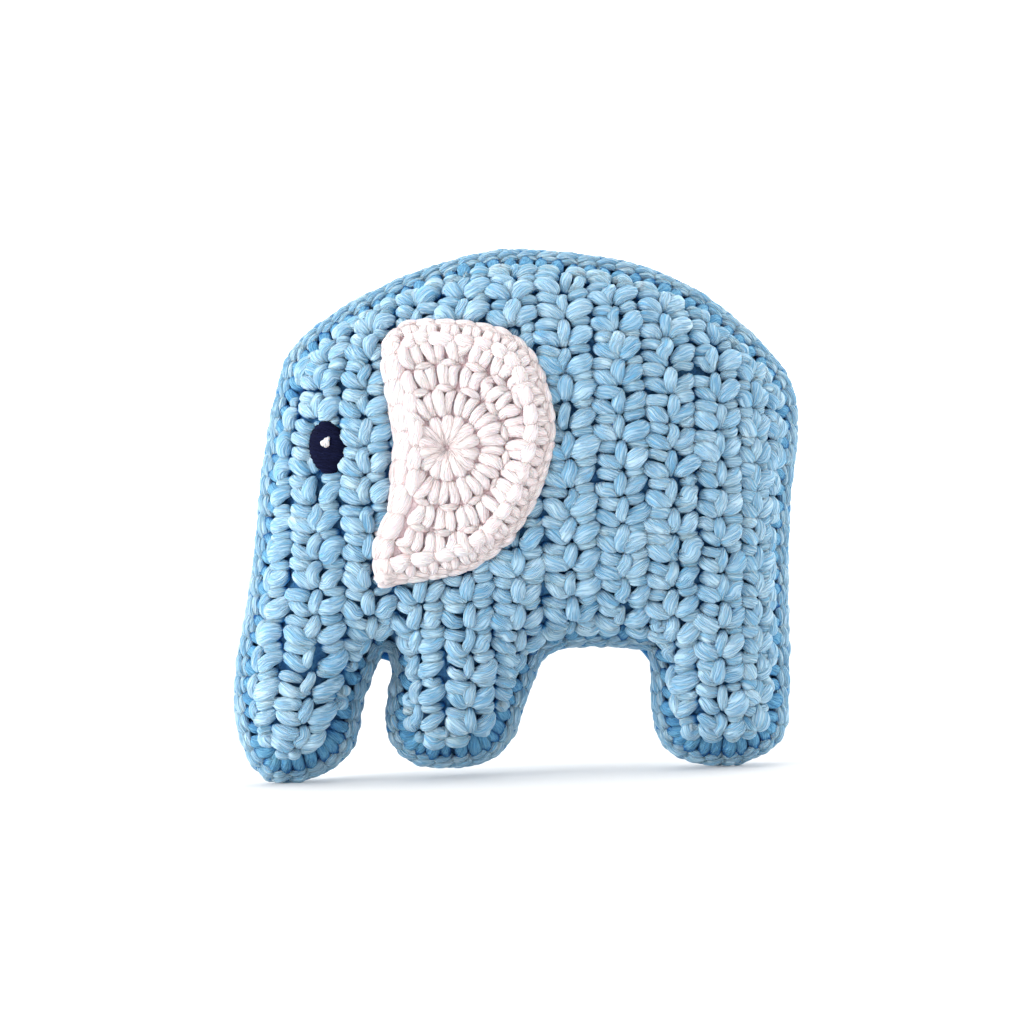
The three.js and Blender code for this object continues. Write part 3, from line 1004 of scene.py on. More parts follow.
@dataclass
class Ear:
    """A flat ear worked in rounds from a ring, and cut off straight where it is sewn on.

    Args:
        side: LEFT or RIGHT.
        fabric: The face of the toy behind the ear.
        ring: The ring's centre in the side view.
        plate: Thickness of the fabric under the top strands.
        outline: The ear's outline.
        surface: The middle of the ear's thickness.
    """

    side: int
    fabric: Surface
    ring: tuple[float, float]
    plate: float = 1.8
    outline: Outline = field(init=False)
    surface: Surface = field(init=False)

    # The raised ridge inside the edge, the rim turned down outside it, and the ring's dimple
    RIDGE_HIGH = 1.1
    RIDGE_DEPTH = 5.3
    RIDGE_WIDE = 2.2
    RIM_LOW = 0.9
    RIM_WIDE = 4.2
    DIMPLE = 0.35
    DIMPLE_WIDE = 3

    PETALS = 14
    PETAL_WIDTH = 3.5
    PETAL_RADII = (0.7, 3.0, 5.3, 7.5)
    PETAL_PROUD = (-0.3, 0.55, 0.85, -0.2)
    # Inner radius, outer radius and number of strands of each round
    ROUNDS = ((7.3, 13.2, 28), (13.4, 18.9, 40), (19.1, 24.6, 52), (24.8, 30.4, 66))
    ROUND_PROUD = (-0.4, 0.8, 0.95, -0.2)
    LOOP_PROUD = (-0.3, 1.0, 1.0, -0.3)
    ROUND_WIDTH = 2.75
    LOOP_WIDTH = 1.9
    WITHIN_EDGE = 4.4
    # Depth, length, width and height of the strands of each row along the edge
    BEHIND = ((5.4, 5.2, 3.3, 0.9), (2.0, 5.0, 2.4, 0.45), (1.15, 4.6, 2.6, 0.35))
    FRONT = ((2.9, 5.7, 4.6, 0.5), (1.5, 5.7, 3.0, 0.5))
    FRONT_REACH = 7.5
    BEHIND_REACH = 4.5
    LAST_ROUND_STEP = 2.55
    LAST_ROUND_DEPTH = (4.9, 3.8, 2.6, 1.4)
    LAST_ROUND_PROUD = (-0.1, 0.7, 0.7, -0.1)
    LAST_ROUND_WIDTH = 2.5
    SEWN = 15
    SEWN_ALONG = (-0.9, -0.4, 0.4, 0.9)
    SEWN_ACROSS = (0.3, 1.2, 2.6, 3.6)
    SEWN_PROUD = (0.0, 0.9, 0.9, 0.0)
    SEWN_WIDTH = 2.0

    def __post_init__(self) -> None:
        """Trace the ear and the face that it follows."""
        name = f"{side_name(self.side)}_ear"
        self.outline = Outline(face_loop(name, self.side), spacing=0.6, pitch=0.6, softening=1)
        mesh = mesh_of(name)
        places = [v.co / MM for v in mesh.vertices]
        tree = BVHTree.FromPolygons(places, [list(p.vertices) for p in mesh.polygons])
        x, z = self.outline.distance.places()
        middle = np.full(x.shape, np.nan)
        for j, i in np.argwhere(self.outline.distance.values > 0.9):
            outer = tree.ray_cast(Vector((x[j, i], self.side * 60, z[j, i])), Vector((0, -self.side, 0)))[0]
            inner = tree.ray_cast(Vector((x[j, i], 0, z[j, i])), Vector((0, self.side, 0)))[0]
            if outer and inner:
                middle[j, i] = abs(outer.y + inner.y) / 2
        behind = self.fabric.height.at(x, z)
        gap = np.nanmean(middle - behind)
        self.surface = Surface(self.outline.distance.with_values(
            np.where(np.isnan(middle), behind + gap, middle)).blurred(8), self.side)

    def from_ring(self, radius: np.ndarray, angle: np.ndarray) -> tuple[np.ndarray, np.ndarray]:
        """Return the x and z of places around the ring."""
        return self.ring[0] + radius * np.cos(angle), self.ring[1] + radius * np.sin(angle)

    def cup(self, x: np.ndarray, z: np.ndarray) -> np.ndarray:
        """Return how far the ear's face stands above its middle: hollow inside a raised rim."""
        deep = self.outline.distance.at(x, z)
        radius = np.hypot(x - self.ring[0], z - self.ring[1])
        behind = np.clip((x - self.ring[0] + 15) / 8, 0, 1)
        ridge = self.RIDGE_HIGH * np.exp(-(((deep - self.RIDGE_DEPTH) / self.RIDGE_WIDE) ** 2))
        turned_down = self.RIM_LOW * np.clip(1 - deep / self.RIM_WIDE, 0, 1)
        dimple = self.DIMPLE * np.exp(-((radius / self.DIMPLE_WIDE) ** 2))
        return (ridge - turned_down) * behind - dimple

    def drawn(
        self, x: np.ndarray, z: np.ndarray, proud: np.ndarray, width: np.ndarray, **shape: float
    ) -> Strands:
        """Lay strands on the ear.

        Args:
            x: Knots along the toy.
            z: Knots' heights over the floor.
            proud: How far the knots stand out of the plate.
            width: The strands' widths.
            shape: Other measures of the strands.

        Returns:
            The strands.
        """
        lifted = proud + self.cup(x, z)
        return Strands(self.surface.place(x, z, lifted), self.surface.normal(x, z), proud, width, **shape)

    def rounds(self, rng: np.random.Generator) -> list[Strands]:
        """Draw the ring's petals and the rounds of stitches outside it.

        Args:
            rng: Source of small differences.

        Returns:
            The strands.
        """
        count = self.PETALS
        angle = (np.arange(count) + 0.3) * 2 * np.pi / count
        turned = angle[:, None] + np.array([0.0, 0.0, 0.05, 0.1]) + rng.normal(0, 0.03, (count, 4))
        x, z = self.from_ring(np.array(self.PETAL_RADII) + rng.normal(0, 0.1, (count, 4)), turned)
        proud = np.array(self.PETAL_PROUD) + rng.normal(0, 0.05, (count, 1))
        found = [self.drawn(x, z, proud, np.full(count, self.PETAL_WIDTH), ends=0.45, blunt=0.5)]
        for number, (inner, outer, count) in enumerate(self.ROUNDS):
            pair = np.arange(count) // 2
            second = (np.arange(count) % 2).astype(float)
            step = 4 * np.pi / count
            base = pair * step + 0.4 * number
            start = base + (0.30 + 0.30 * second) * step
            end = base + (0.12 + 0.62 * second) * step
            way = np.linspace(0, 1, 4)[None]
            turned = start[:, None] + (end - start)[:, None] * way + 0.10 * np.sin(way * np.pi) * step
            turned = turned + rng.normal(0, 0.012, turned.shape)
            radius = inner + (outer - inner) * way + rng.normal(0, 0.18, turned.shape)
            proud = np.array(self.ROUND_PROUD) + rng.normal(0, 0.16, (count, 1))
            found.append(self.kept(*self.from_ring(radius, turned), proud, self.ROUND_WIDTH, rng))
            loop = base[::2, None] + (0.1 + 0.8 * way) * step
            radius = np.full(loop.shape, outer + 0.1) + rng.normal(0, 0.12, loop.shape)
            proud = np.array(self.LOOP_PROUD) + rng.normal(-0.15, 0.2, (len(loop), 1))
            found.append(self.kept(*self.from_ring(radius, loop), proud, self.LOOP_WIDTH, rng))
        return found

    def kept(
        self, x: np.ndarray, z: np.ndarray, proud: np.ndarray, width: float, rng: np.random.Generator
    ) -> Strands:
        """Keep the strands that lie well inside the ear's edge stitches.

        Args:
            x: Knots along the toy.
            z: Knots' heights over the floor.
            proud: How far the knots stand out.
            width: The strands' usual width.
            rng: Source of small differences.

        Returns:
            The strands.
        """
        deep = self.outline.distance.at(x, z).mean(axis=1) > self.WITHIN_EDGE
        widths = width * (1 + rng.normal(0, 0.07, len(x)))
        return self.drawn(x[deep], z[deep], np.broadcast_to(proud, x.shape)[deep], widths[deep])

    def edge(self, rng: np.random.Generator) -> list[Strands]:
        """Draw the ridge, the turned-down last round and the rim.

        Args:
            rng: Source of small differences.

        Returns:
            The strands.
        """
        found = []
        whole = self.outline.along[-1]
        for row in self.BEHIND + self.FRONT:
            depth, length, width, proud = row
            count = int(round(whole / length))
            start = np.arange(count) * whole / count
            gone = start[:, None] + np.array([-0.6, 0.3 * length, 0.7 * length, length + 0.6])
            deep = depth + np.array([0.5, 0.0, -0.1, -0.5]) * 0.7 + rng.normal(0, 0.1, gone.shape)
            x, z = self.outline.at(gone, deep)
            rise = np.array([-0.2, 1, 1, 0]) * proud + rng.normal(0, 0.08, (count, 1))
            if row in self.FRONT:
                use = self.at_front(start + length / 2, self.FRONT_REACH)
            else:
                use = ~self.at_front(start + length / 2, self.BEHIND_REACH)
            found.append(self.drawn(x[use], z[use], rise[use], np.full(use.sum(), width), ends=0.45))
        count = int(round(whole / self.LAST_ROUND_STEP))
        start = np.arange(count) * whole / count
        lean = np.where(np.arange(count) % 2, 0.9, -0.5)
        gone = start[:, None] + lean[:, None] * np.linspace(0, 1, 4)[None]
        x, z = self.outline.at(gone, np.array(self.LAST_ROUND_DEPTH) + rng.normal(0, 0.12, gone.shape))
        use = ~self.at_front(start, self.FRONT_REACH)
        rise = np.array(self.LAST_ROUND_PROUD) + rng.normal(0, 0.1, (count, 1))
        widths = np.full(use.sum(), self.LAST_ROUND_WIDTH)
        found.append(self.drawn(x[use], z[use], rise[use], widths, ends=0.5))
        return found

    def at_front(self, gone: np.ndarray, reach: float) -> np.ndarray:
        """Return whether distances along the edge are within reach of the sewn front."""
        x, _ = self.outline.at(gone, np.zeros_like(gone))
        return x < self.outline.loop[:, 0].min() + reach

    def whip_stitches(self, rng: np.random.Generator) -> Strands:
        """Draw the stitches that sew the ear's straight edge to the head.

        Args:
            rng: Source of small differences.

        Returns:
            The strands.
        """
        low, high = box_mm(f"{side_name(self.side)}_ear_thread")
        count = self.SEWN
        z = np.linspace(low[2] + 2, high[2] - 2, count)[:, None] + np.array(self.SEWN_ALONG)
        loop = self.outline.loop
        edge = np.array([loop[np.abs(loop[:, 1] - height) < 1.5, 0].min() for height in z.mean(axis=1)])
        x = edge[:, None] + np.array(self.SEWN_ACROSS) + rng.normal(0, 0.12, (count, 4))
        proud = np.array(self.SEWN_PROUD) + rng.normal(0, 0.08, (count, 1))
        points = self.fabric.place(x, z, proud)
        return Strands(points, self.fabric.normal(x, z), proud, np.full(count, self.SEWN_WIDTH), ends=0.6)

    def plate_object(self) -> bpy.types.Object:
        """Make the plate of fabric under the strands, closed all round.

        Returns:
            The plate, riding on the ear's body.
        """
        name = f"{side_name(self.side)}_ear"
        sheet = Stuffing(self.outline, 0.9, 14, 1, spacing=1.6)
        flat, faces = sheet.sheet()
        x, z = flat[:, 0], flat[:, 1]
        cup = self.cup(x, z)
        outer = self.surface.place(x, z, cup + 0.1)
        inner = self.surface.place(x, z, cup + 0.1 - self.plate)
        return closed_shell(f"{name}_fabric", outer, inner, faces, self.side, f"{name}_flap")


def closed_shell(
    name: str, outer: np.ndarray, inner: np.ndarray, faces: np.ndarray, side: int, body: str
) -> bpy.types.Object:
    """Make a closed piece from an outer and an inner face.

    Args:
        name: The piece's name.
        outer: The outer face's points in millimetres.
        inner: The inner face's points, in the same order.
        faces: The triangles of both.
        side: The side that the outer face looks to.
        body: The body that the piece rides on.

    Returns:
        The object.
    """
    count = len(outer)
    p, q, r = (outer[faces[0, k]] for k in range(3))
    outward = np.cross(q - p, r - p)[1] * side > 0
    front = faces if outward else faces[:, ::-1]
    edges = {(a, b) for t in front.tolist() for a, b in zip(t, t[1:] + t[:1])}
    wall = [(b, a, a + count, b + count) for a, b in edges if (b, a) not in edges]
    mesh = bpy.data.meshes.new(name)
    every = front.tolist() + (front[:, ::-1] + count).tolist() + wall
    mesh.from_pydata((np.vstack([outer, inner]) * MM).tolist(), [], every)
    mesh.shade_smooth()
    obj = bpy.data.objects.new(name, mesh)
    bpy.context.scene.collection.objects.link(obj)
    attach(obj, body)
    return obj


@dataclass
class Eye:
    """An oval of satin stitches with a small light stitch on it.

    Args:
        side: LEFT or RIGHT.
        fabric: The face that it is sewn on.
    """

    side: int
    fabric: Surface

    def outline(self) -> Outline:
        """Return the eye's oval."""
        low, high = box_mm(f"{side_name(self.side)}_eye")
        turn = np.arange(48) * 2 * np.pi / 48
        oval = np.stack([np.cos(turn), np.sin(turn)], 1) * (high - low)[[0, 2]] / 2
        return Outline(oval + (low + high)[[0, 2]] / 2, margin=3, softening=0)

    def stitches(self, count: int, width: float, lift: float, lean: float) -> Strands:
        """Fill the oval with parallel stitches.

        Args:
            count: Number of stitches.
            width: Their width.
            lift: How far they stand out in the middle.
            lean: Angle that the stitches fall by, in degrees.

        Returns:
            The strands.
        """
        low, high = box_mm(f"{side_name(self.side)}_eye")
        middle, half = (low + high)[[0, 2]] / 2, (high - low)[[0, 2]] / 2
        up = np.linspace(-1, 1, count) * 0.93
        reach = np.sqrt(1 - up**2)
        along = np.array([-1, -0.55, 0.55, 1])[None] * reach[:, None] * half[0]
        x = middle[0] + along
        z = middle[1] + up[:, None] * (half[1] - width * 0.3) - along * math.tan(math.radians(lean)) * 0.6
        dome = 1 - (up * 0.8) ** 2
        proud = np.array([0.1, 1, 1, 0.1])[None] * (0.9 + lift * dome[:, None])
        strands = self.fabric.place(x, z, proud + 0.7)
        strands[..., [0, 2]] += middle - (strands.min(axis=(0, 1)) + strands.max(axis=(0, 1)))[[0, 2]] / 2
        return Strands(strands, self.fabric.normal(x, z), proud, np.full(count, width), ends=0.5, blunt=0.4)

    def glint(self) -> Strands:
        """Draw the small upright stitches that catch the light.

        Returns:
            The strands.
        """
        low, high = box_mm(f"{side_name(self.side)}_eye_glint")
        middle, half = (low + high)[[0, 2]] / 2, (high - low)[[0, 2]] / 2
        across = np.array([0.4, 0.9, 1.4])
        up = np.array([[-0.7, -0.3, 0.0, 0.3], [-1.0, -0.4, 0.2, 0.8], [-0.8, -0.2, 0.4, 1.0]])
        x = middle[0] + (across[:, None] + 0.15 * up) * half[0]
        z = middle[1] + up * half[1]
        proud = np.tile([3.1, 4.0, 4.0, 3.1], (3, 1))
        points = self.fabric.place(x, z, proud)
        points[..., [0, 2]] += np.stack([x, z], -1).mean(axis=(0, 1)) - points[..., [0, 2]].mean(axis=(0, 1))
        return Strands(points, self.fabric.normal(x, z), proud - 2, np.full(3, 1.0), ends=0.5)


WAD_GRAIN = 0.0025
WAD_WAVES = 420
WAD_LOOSE = 0.0009
WAD_LUMPS = 0.0006


def wad(node: str, rng: np.random.Generator) -> bpy.types.Object:
    """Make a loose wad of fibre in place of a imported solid.

    Args:
        node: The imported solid.
        rng: Source of the lumps.

    Returns:
        The wad, riding on the body.
    """
    mesh = mesh_of(node).copy()
    obj = bpy.data.objects.new(f"{node}_wad", mesh)
    bpy.context.scene.collection.objects.link(obj)
    remesh = obj.modifiers.new("remesh", "REMESH")
    remesh.mode = "VOXEL"
    remesh.voxel_size = WAD_GRAIN
    result = bpy.data.meshes.new_from_object(obj.evaluated_get(bpy.context.evaluated_depsgraph_get()))
    obj.modifiers.clear()
    obj.data = result
    result.name = obj.name
    places = np.array([v.co for v in result.vertices])
    normals = np.array([v.normal for v in result.vertices])
    waves = rng.normal(0, 1, (6, 3)) * WAD_WAVES
    lumps = np.mean([np.sin(places @ w + p) for w, p in zip(waves, rng.random(6) * 6)], axis=0)
    sunk = WAD_LOOSE + WAD_LUMPS * lumps[:, None]
    result.vertices.foreach_set("co", (places - normals * sunk).ravel())
    result.shade_smooth()
    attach(obj, "body")
    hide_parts(node)
    return obj


# Finishes


def linear(red: float, green: float, blue: float) -> tuple[float, float, float, float]:
    """Return a linear colour for display values from 0 to 255."""
    values = [v / 255 for v in (red, green, blue)]
    return (*(v / 12.92 if v <= 0.04045 else ((v + 0.055) / 1.055) ** 2.4 for v in values), 1.0)


def socket(group: bpy.types.ShaderNodeTree, way: str, name: str, kind: str, value: object = None) -> None:
    """Add a named input or output to a node group.

    Args:
        group: The node group.
        way: INPUT or OUTPUT.
        name: The socket's name.
        kind: Its type, such as Float, Color or Vector.
        value: Its usual value.
    """
    made = group.interface.new_socket(name, in_out=way, socket_type=f"NodeSocket{kind}")
    if value is not None:
        made.default_value = value


def maths(tree: bpy.types.NodeTree, operation: str, first: object, second: object) -> bpy.types.NodeSocket:
    """Add a maths node.

    Args:
        tree: The tree that it goes in.
        operation: The operation.
        first: A socket or a number.
        second: A socket or a number.

    Returns:
        The result's socket.
    """
    node = tree.nodes.new("ShaderNodeMath")
    node.operation = operation
    for place, value in zip(node.inputs, (first, second)):
        if isinstance(value, bpy.types.NodeSocket):
            tree.links.new(value, place)
        else:
            place.default_value = value
    return node.outputs[0]


def mixed(tree: bpy.types.NodeTree, share: object, first: object, second: object) -> bpy.types.NodeSocket:
    """Mix two colours.

    Args:
        tree: The tree that the node goes in.
        share: How much of the second shows.
        first: A socket or a colour.
        second: A socket or a colour.

    Returns:
        The mixed colour's socket.
    """
    node = tree.nodes.new("ShaderNodeMix")
    node.data_type = "RGBA"
    for place, value in zip((node.inputs[0], node.inputs[6], node.inputs[7]), (share, first, second)):
        if isinstance(value, bpy.types.NodeSocket):
            tree.links.new(value, place)
        else:
            place.default_value = value
    return node.outputs[2]


def ramp(tree: bpy.types.NodeTree, value: object, low: float, high: float) -> bpy.types.NodeSocket:
    """Rise smoothly from 0 to 1 as a value goes from low to high.

    Args:
        tree: The tree that the node goes in.
        value: The value's socket.
        low: Where the rise starts.
        high: Where it ends.

    Returns:
        The result's socket.
    """
    node = tree.nodes.new("ShaderNodeMapRange")
    node.interpolation_type = "SMOOTHSTEP"
    node.inputs["From Min"].default_value = low
    node.inputs["From Max"].default_value = high
    tree.links.new(value, node.inputs["Value"])
    return node.outputs[0]


def noise(tree: bpy.types.NodeTree, place: object, scale: float, detail: float) -> bpy.types.NodeSocket:
    """Add a noise.

    Args:
        tree: The tree that the node goes in.
        place: The place's socket.
        scale: The noise's scale.
        detail: Its detail.

    Returns:
        The noise's value.
    """
    node = tree.nodes.new("ShaderNodeTexNoise")
    node.inputs["Scale"].default_value = scale
    node.inputs["Detail"].default_value = detail
    tree.links.new(place, node.inputs["Vector"])
    return node.outputs[0]


def filament_group() -> bpy.types.ShaderNodeTree:
    """Make the group that draws the fine filaments of a yarn.

    Returns:
        A group that gives a streak value and a height for a place on a strand.
    """
    group = bpy.data.node_groups.new("yarn_filaments", "ShaderNodeTree")
    socket(group, "INPUT", "Place", "Vector")
    socket(group, "INPUT", "Filaments", "Float", 14.0)
    socket(group, "INPUT", "Twist", "Float", 0.03)
    socket(group, "OUTPUT", "Streak", "Float")
    socket(group, "OUTPUT", "Height", "Float")
    inside, outside = group.nodes.new("NodeGroupInput"), group.nodes.new("NodeGroupOutput")
    split = group.nodes.new("ShaderNodeSeparateXYZ")
    group.links.new(inside.outputs["Place"], split.inputs[0])
    turn = maths(group, "MULTIPLY", split.outputs[0], inside.outputs["Twist"])
    turn = maths(group, "ADD", turn, split.outputs[1])
    found = []
    for share, along in ((1.0, 0.22), (0.42, 0.12)):
        across = maths(group, "MULTIPLY", maths(group, "MULTIPLY", turn, inside.outputs["Filaments"]), share)
        joined = group.nodes.new("ShaderNodeCombineXYZ")
        group.links.new(across, joined.inputs[0])
        group.links.new(maths(group, "MULTIPLY", split.outputs[0], along), joined.inputs[1])
        found.append(noise(group, joined.outputs[0], 1.6, 1.0))
    fine, broad = ramp(group, found[0], 0.38, 0.60), ramp(group, found[1], 0.32, 0.66)
    height = maths(group, "ADD", maths(group, "MULTIPLY", fine, 0.62), maths(group, "MULTIPLY", broad, 0.38))
    group.links.new(height, outside.inputs["Streak"])
    group.links.new(height, outside.inputs["Height"])
    return group


def painted_shade_group() -> bpy.types.ShaderNodeTree:
    """Make the group that paints shade on yarn, darkest at the bottom of the crevices and lightest on top of
    a stitch.

    Returns:
        A group that gives a colour for a painted shade height, a streak and a strand's tone.
    """
    group = bpy.data.node_groups.new("yarn_painted_shade", "ShaderNodeTree")
    for name in ("Depth", "Streak", "Tone"):
        socket(group, "INPUT", name, "Float", 0.5)
    for name in ("Deep Shade", "Shade", "Body", "Light"):
        socket(group, "INPUT", name, "Color")
    socket(group, "OUTPUT", "Color", "Color")
    inside, outside = group.nodes.new("NodeGroupInput"), group.nodes.new("NodeGroupOutput")
    given = inside.outputs
    bright = maths(group, "ADD", maths(group, "MULTIPLY", given["Streak"], 0.7),
                   maths(group, "MULTIPLY", given["Tone"], 0.3))
    face = mixed(group, bright, given["Body"], given["Light"])
    # Painted shade: the deep shade colour at the bottom of the crevices, the shade colour on the way up
    low = maths(group, "ADD", given["Depth"], maths(group, "MULTIPLY", given["Streak"], 0.12))
    side = mixed(group, ramp(group, low, 0.28, 0.66), given["Shade"], face)
    full = mixed(group, ramp(group, low, 0.02, 0.34), given["Deep Shade"], side)
    group.links.new(full, outside.inputs["Color"])
    return group


@dataclass(frozen=True)
class YarnFinish:
    """A spun yarn, with painted shade that darkens it in the crevices between its stitches.

    Args:
        name: The material's name.
        deep: Painted shade at the bottom of the crevices.
        shade: Painted shade on the way up from them.
        body: Colour of the darker filaments on top.
        light: Colour of the lighter ones.
        filaments: Number of filament streaks around a strand, roughly.
        relief: Height of the filaments in metres.
        sheen: Strength of the soft shine.
        glow: How much of the light passes through the filaments.
    """

    name: str
    deep: tuple[float, float, float, float]
    shade: tuple[float, float, float, float]
    body: tuple[float, float, float, float]
    light: tuple[float, float, float, float]
    filaments: float = 15.0
    relief: float = 0.0004
    sheen: float = 0.25
    glow: float = 0.4

    def material(
        self, filaments: bpy.types.ShaderNodeTree, painted_shade: bpy.types.ShaderNodeTree
    ) -> bpy.types.Material:
        """Make the yarn's material.

        Args:
            filaments: The filament group.
            painted_shade: The group that paints shade into the crevices.

        Returns:
            The material.
        """
        material = bpy.data.materials.new(self.name)
        material.use_nodes = True
        tree = material.node_tree
        surface = tree.nodes["Principled BSDF"]
        place = tree.nodes.new("ShaderNodeUVMap")
        place.uv_map = "Yarn"
        streaks = tree.nodes.new("ShaderNodeGroup")
        streaks.node_tree = filaments
        streaks.inputs["Filaments"].default_value = self.filaments
        tree.links.new(place.outputs[0], streaks.inputs["Place"])
        colour = tree.nodes.new("ShaderNodeGroup")
        colour.node_tree = painted_shade
        colours = {"Deep Shade": self.deep, "Shade": self.shade, "Body": self.body, "Light": self.light}
        for name, value in colours.items():
            colour.inputs[name].default_value = value
        for name, attribute in (("Depth", "depth"), ("Tone", "tone")):
            read = tree.nodes.new("ShaderNodeAttribute")
            read.attribute_name = attribute
            tree.links.new(read.outputs["Fac"], colour.inputs[name])
        tree.links.new(streaks.outputs["Streak"], colour.inputs["Streak"])
        tree.links.new(colour.outputs["Color"], surface.inputs["Base Color"])
        bump = tree.nodes.new("ShaderNodeBump")
        bump.inputs["Distance"].default_value = self.relief
        bump.inputs["Strength"].default_value = 1.0
        tree.links.new(streaks.outputs["Height"], bump.inputs["Height"])
        tree.links.new(bump.outputs[0], surface.inputs["Normal"])
        surface.inputs["Roughness"].default_value = 0.85
        surface.inputs["Specular IOR Level"].default_value = 0.1
        surface.inputs["Subsurface Weight"].default_value = self.glow
        surface.inputs["Subsurface Radius"].default_value = (0.5, 0.8, 1.0)
        surface.inputs["Subsurface Scale"].default_value = 0.0016
        surface.inputs["Sheen Weight"].default_value = self.sheen
        surface.inputs["Sheen Roughness"].default_value = 0.5
        return material


@dataclass(frozen=True)
class FabricFinish:
    """A plain matt stuff with a fine uneven grain.

    Args:
        name: The material's name.
        dark: The darker colour.
        light: The lighter colour.
        grain: Scale of the grain, in grains to the metre.
    """

    name: str
    dark: tuple[float, float, float, float]
    light: tuple[float, float, float, float]
    grain: float = 700.0

    def material(self) -> bpy.types.Material:
        """Make the material."""
        material = bpy.data.materials.new(self.name)
        material.use_nodes = True
        tree = material.node_tree
        surface = tree.nodes["Principled BSDF"]
        place = tree.nodes.new("ShaderNodeTexCoord")
        value = ramp(tree, noise(tree, place.outputs["Object"], self.grain, 4.0), 0.3, 0.7)
        tree.links.new(mixed(tree, value, self.dark, self.light), surface.inputs["Base Color"])
        bump = tree.nodes.new("ShaderNodeBump")
        bump.inputs["Distance"].default_value = 0.0004
        tree.links.new(value, bump.inputs["Height"])
        tree.links.new(bump.outputs[0], surface.inputs["Normal"])
        surface.inputs["Roughness"].default_value = 0.95
        return material


# Each yarn's deep and shade colours are painted shade for its crevices; body and light are its filaments
BLUE = YarnFinish("blue_yarn", linear(8, 84, 170), linear(44, 128, 194), linear(110, 172, 212),
                  linear(194, 223, 240), filaments=18, relief=0.0008, sheen=0.04)
# A darker, bluer copy of the blue yarn: painted shade for the posts in the groove behind the rim
SHADED_POSTS = YarnFinish("post_yarn_painted_shade", linear(10, 66, 142), linear(32, 98, 158), linear(66, 132, 182),
                   linear(116, 176, 210), filaments=18, relief=0.0008, sheen=0.04)
PINK_WHITE = YarnFinish("ear_yarn", linear(206, 156, 162), linear(238, 214, 218), linear(242, 226, 230),
                        linear(255, 248, 250), filaments=16, relief=0.0005, sheen=0.1)
NAVY = YarnFinish("navy_yarn", linear(2, 3, 12), linear(4, 7, 26), linear(7, 10, 36), linear(14, 20, 54),
                  filaments=10, relief=0.0004, sheen=0.0, glow=0.0)
WHITE = YarnFinish("white_yarn", linear(200, 196, 210), linear(235, 232, 240), linear(250, 248, 252),
                   linear(255, 255, 255), filaments=9)
# Darker sheets under the stitches: painted shade showing in the gaps between them
UNDER = FabricFinish("blue_fabric_painted_shade", linear(44, 104, 160), linear(78, 140, 188))
# The ear's darker sheet is painted shade between its strands
EAR_SHADE_SHEET = FabricFinish("ear_fabric_painted_shade", linear(224, 196, 200), linear(238, 220, 223))
FIBRE = FabricFinish("fibre", linear(225, 224, 220), linear(250, 250, 248), 450.0)


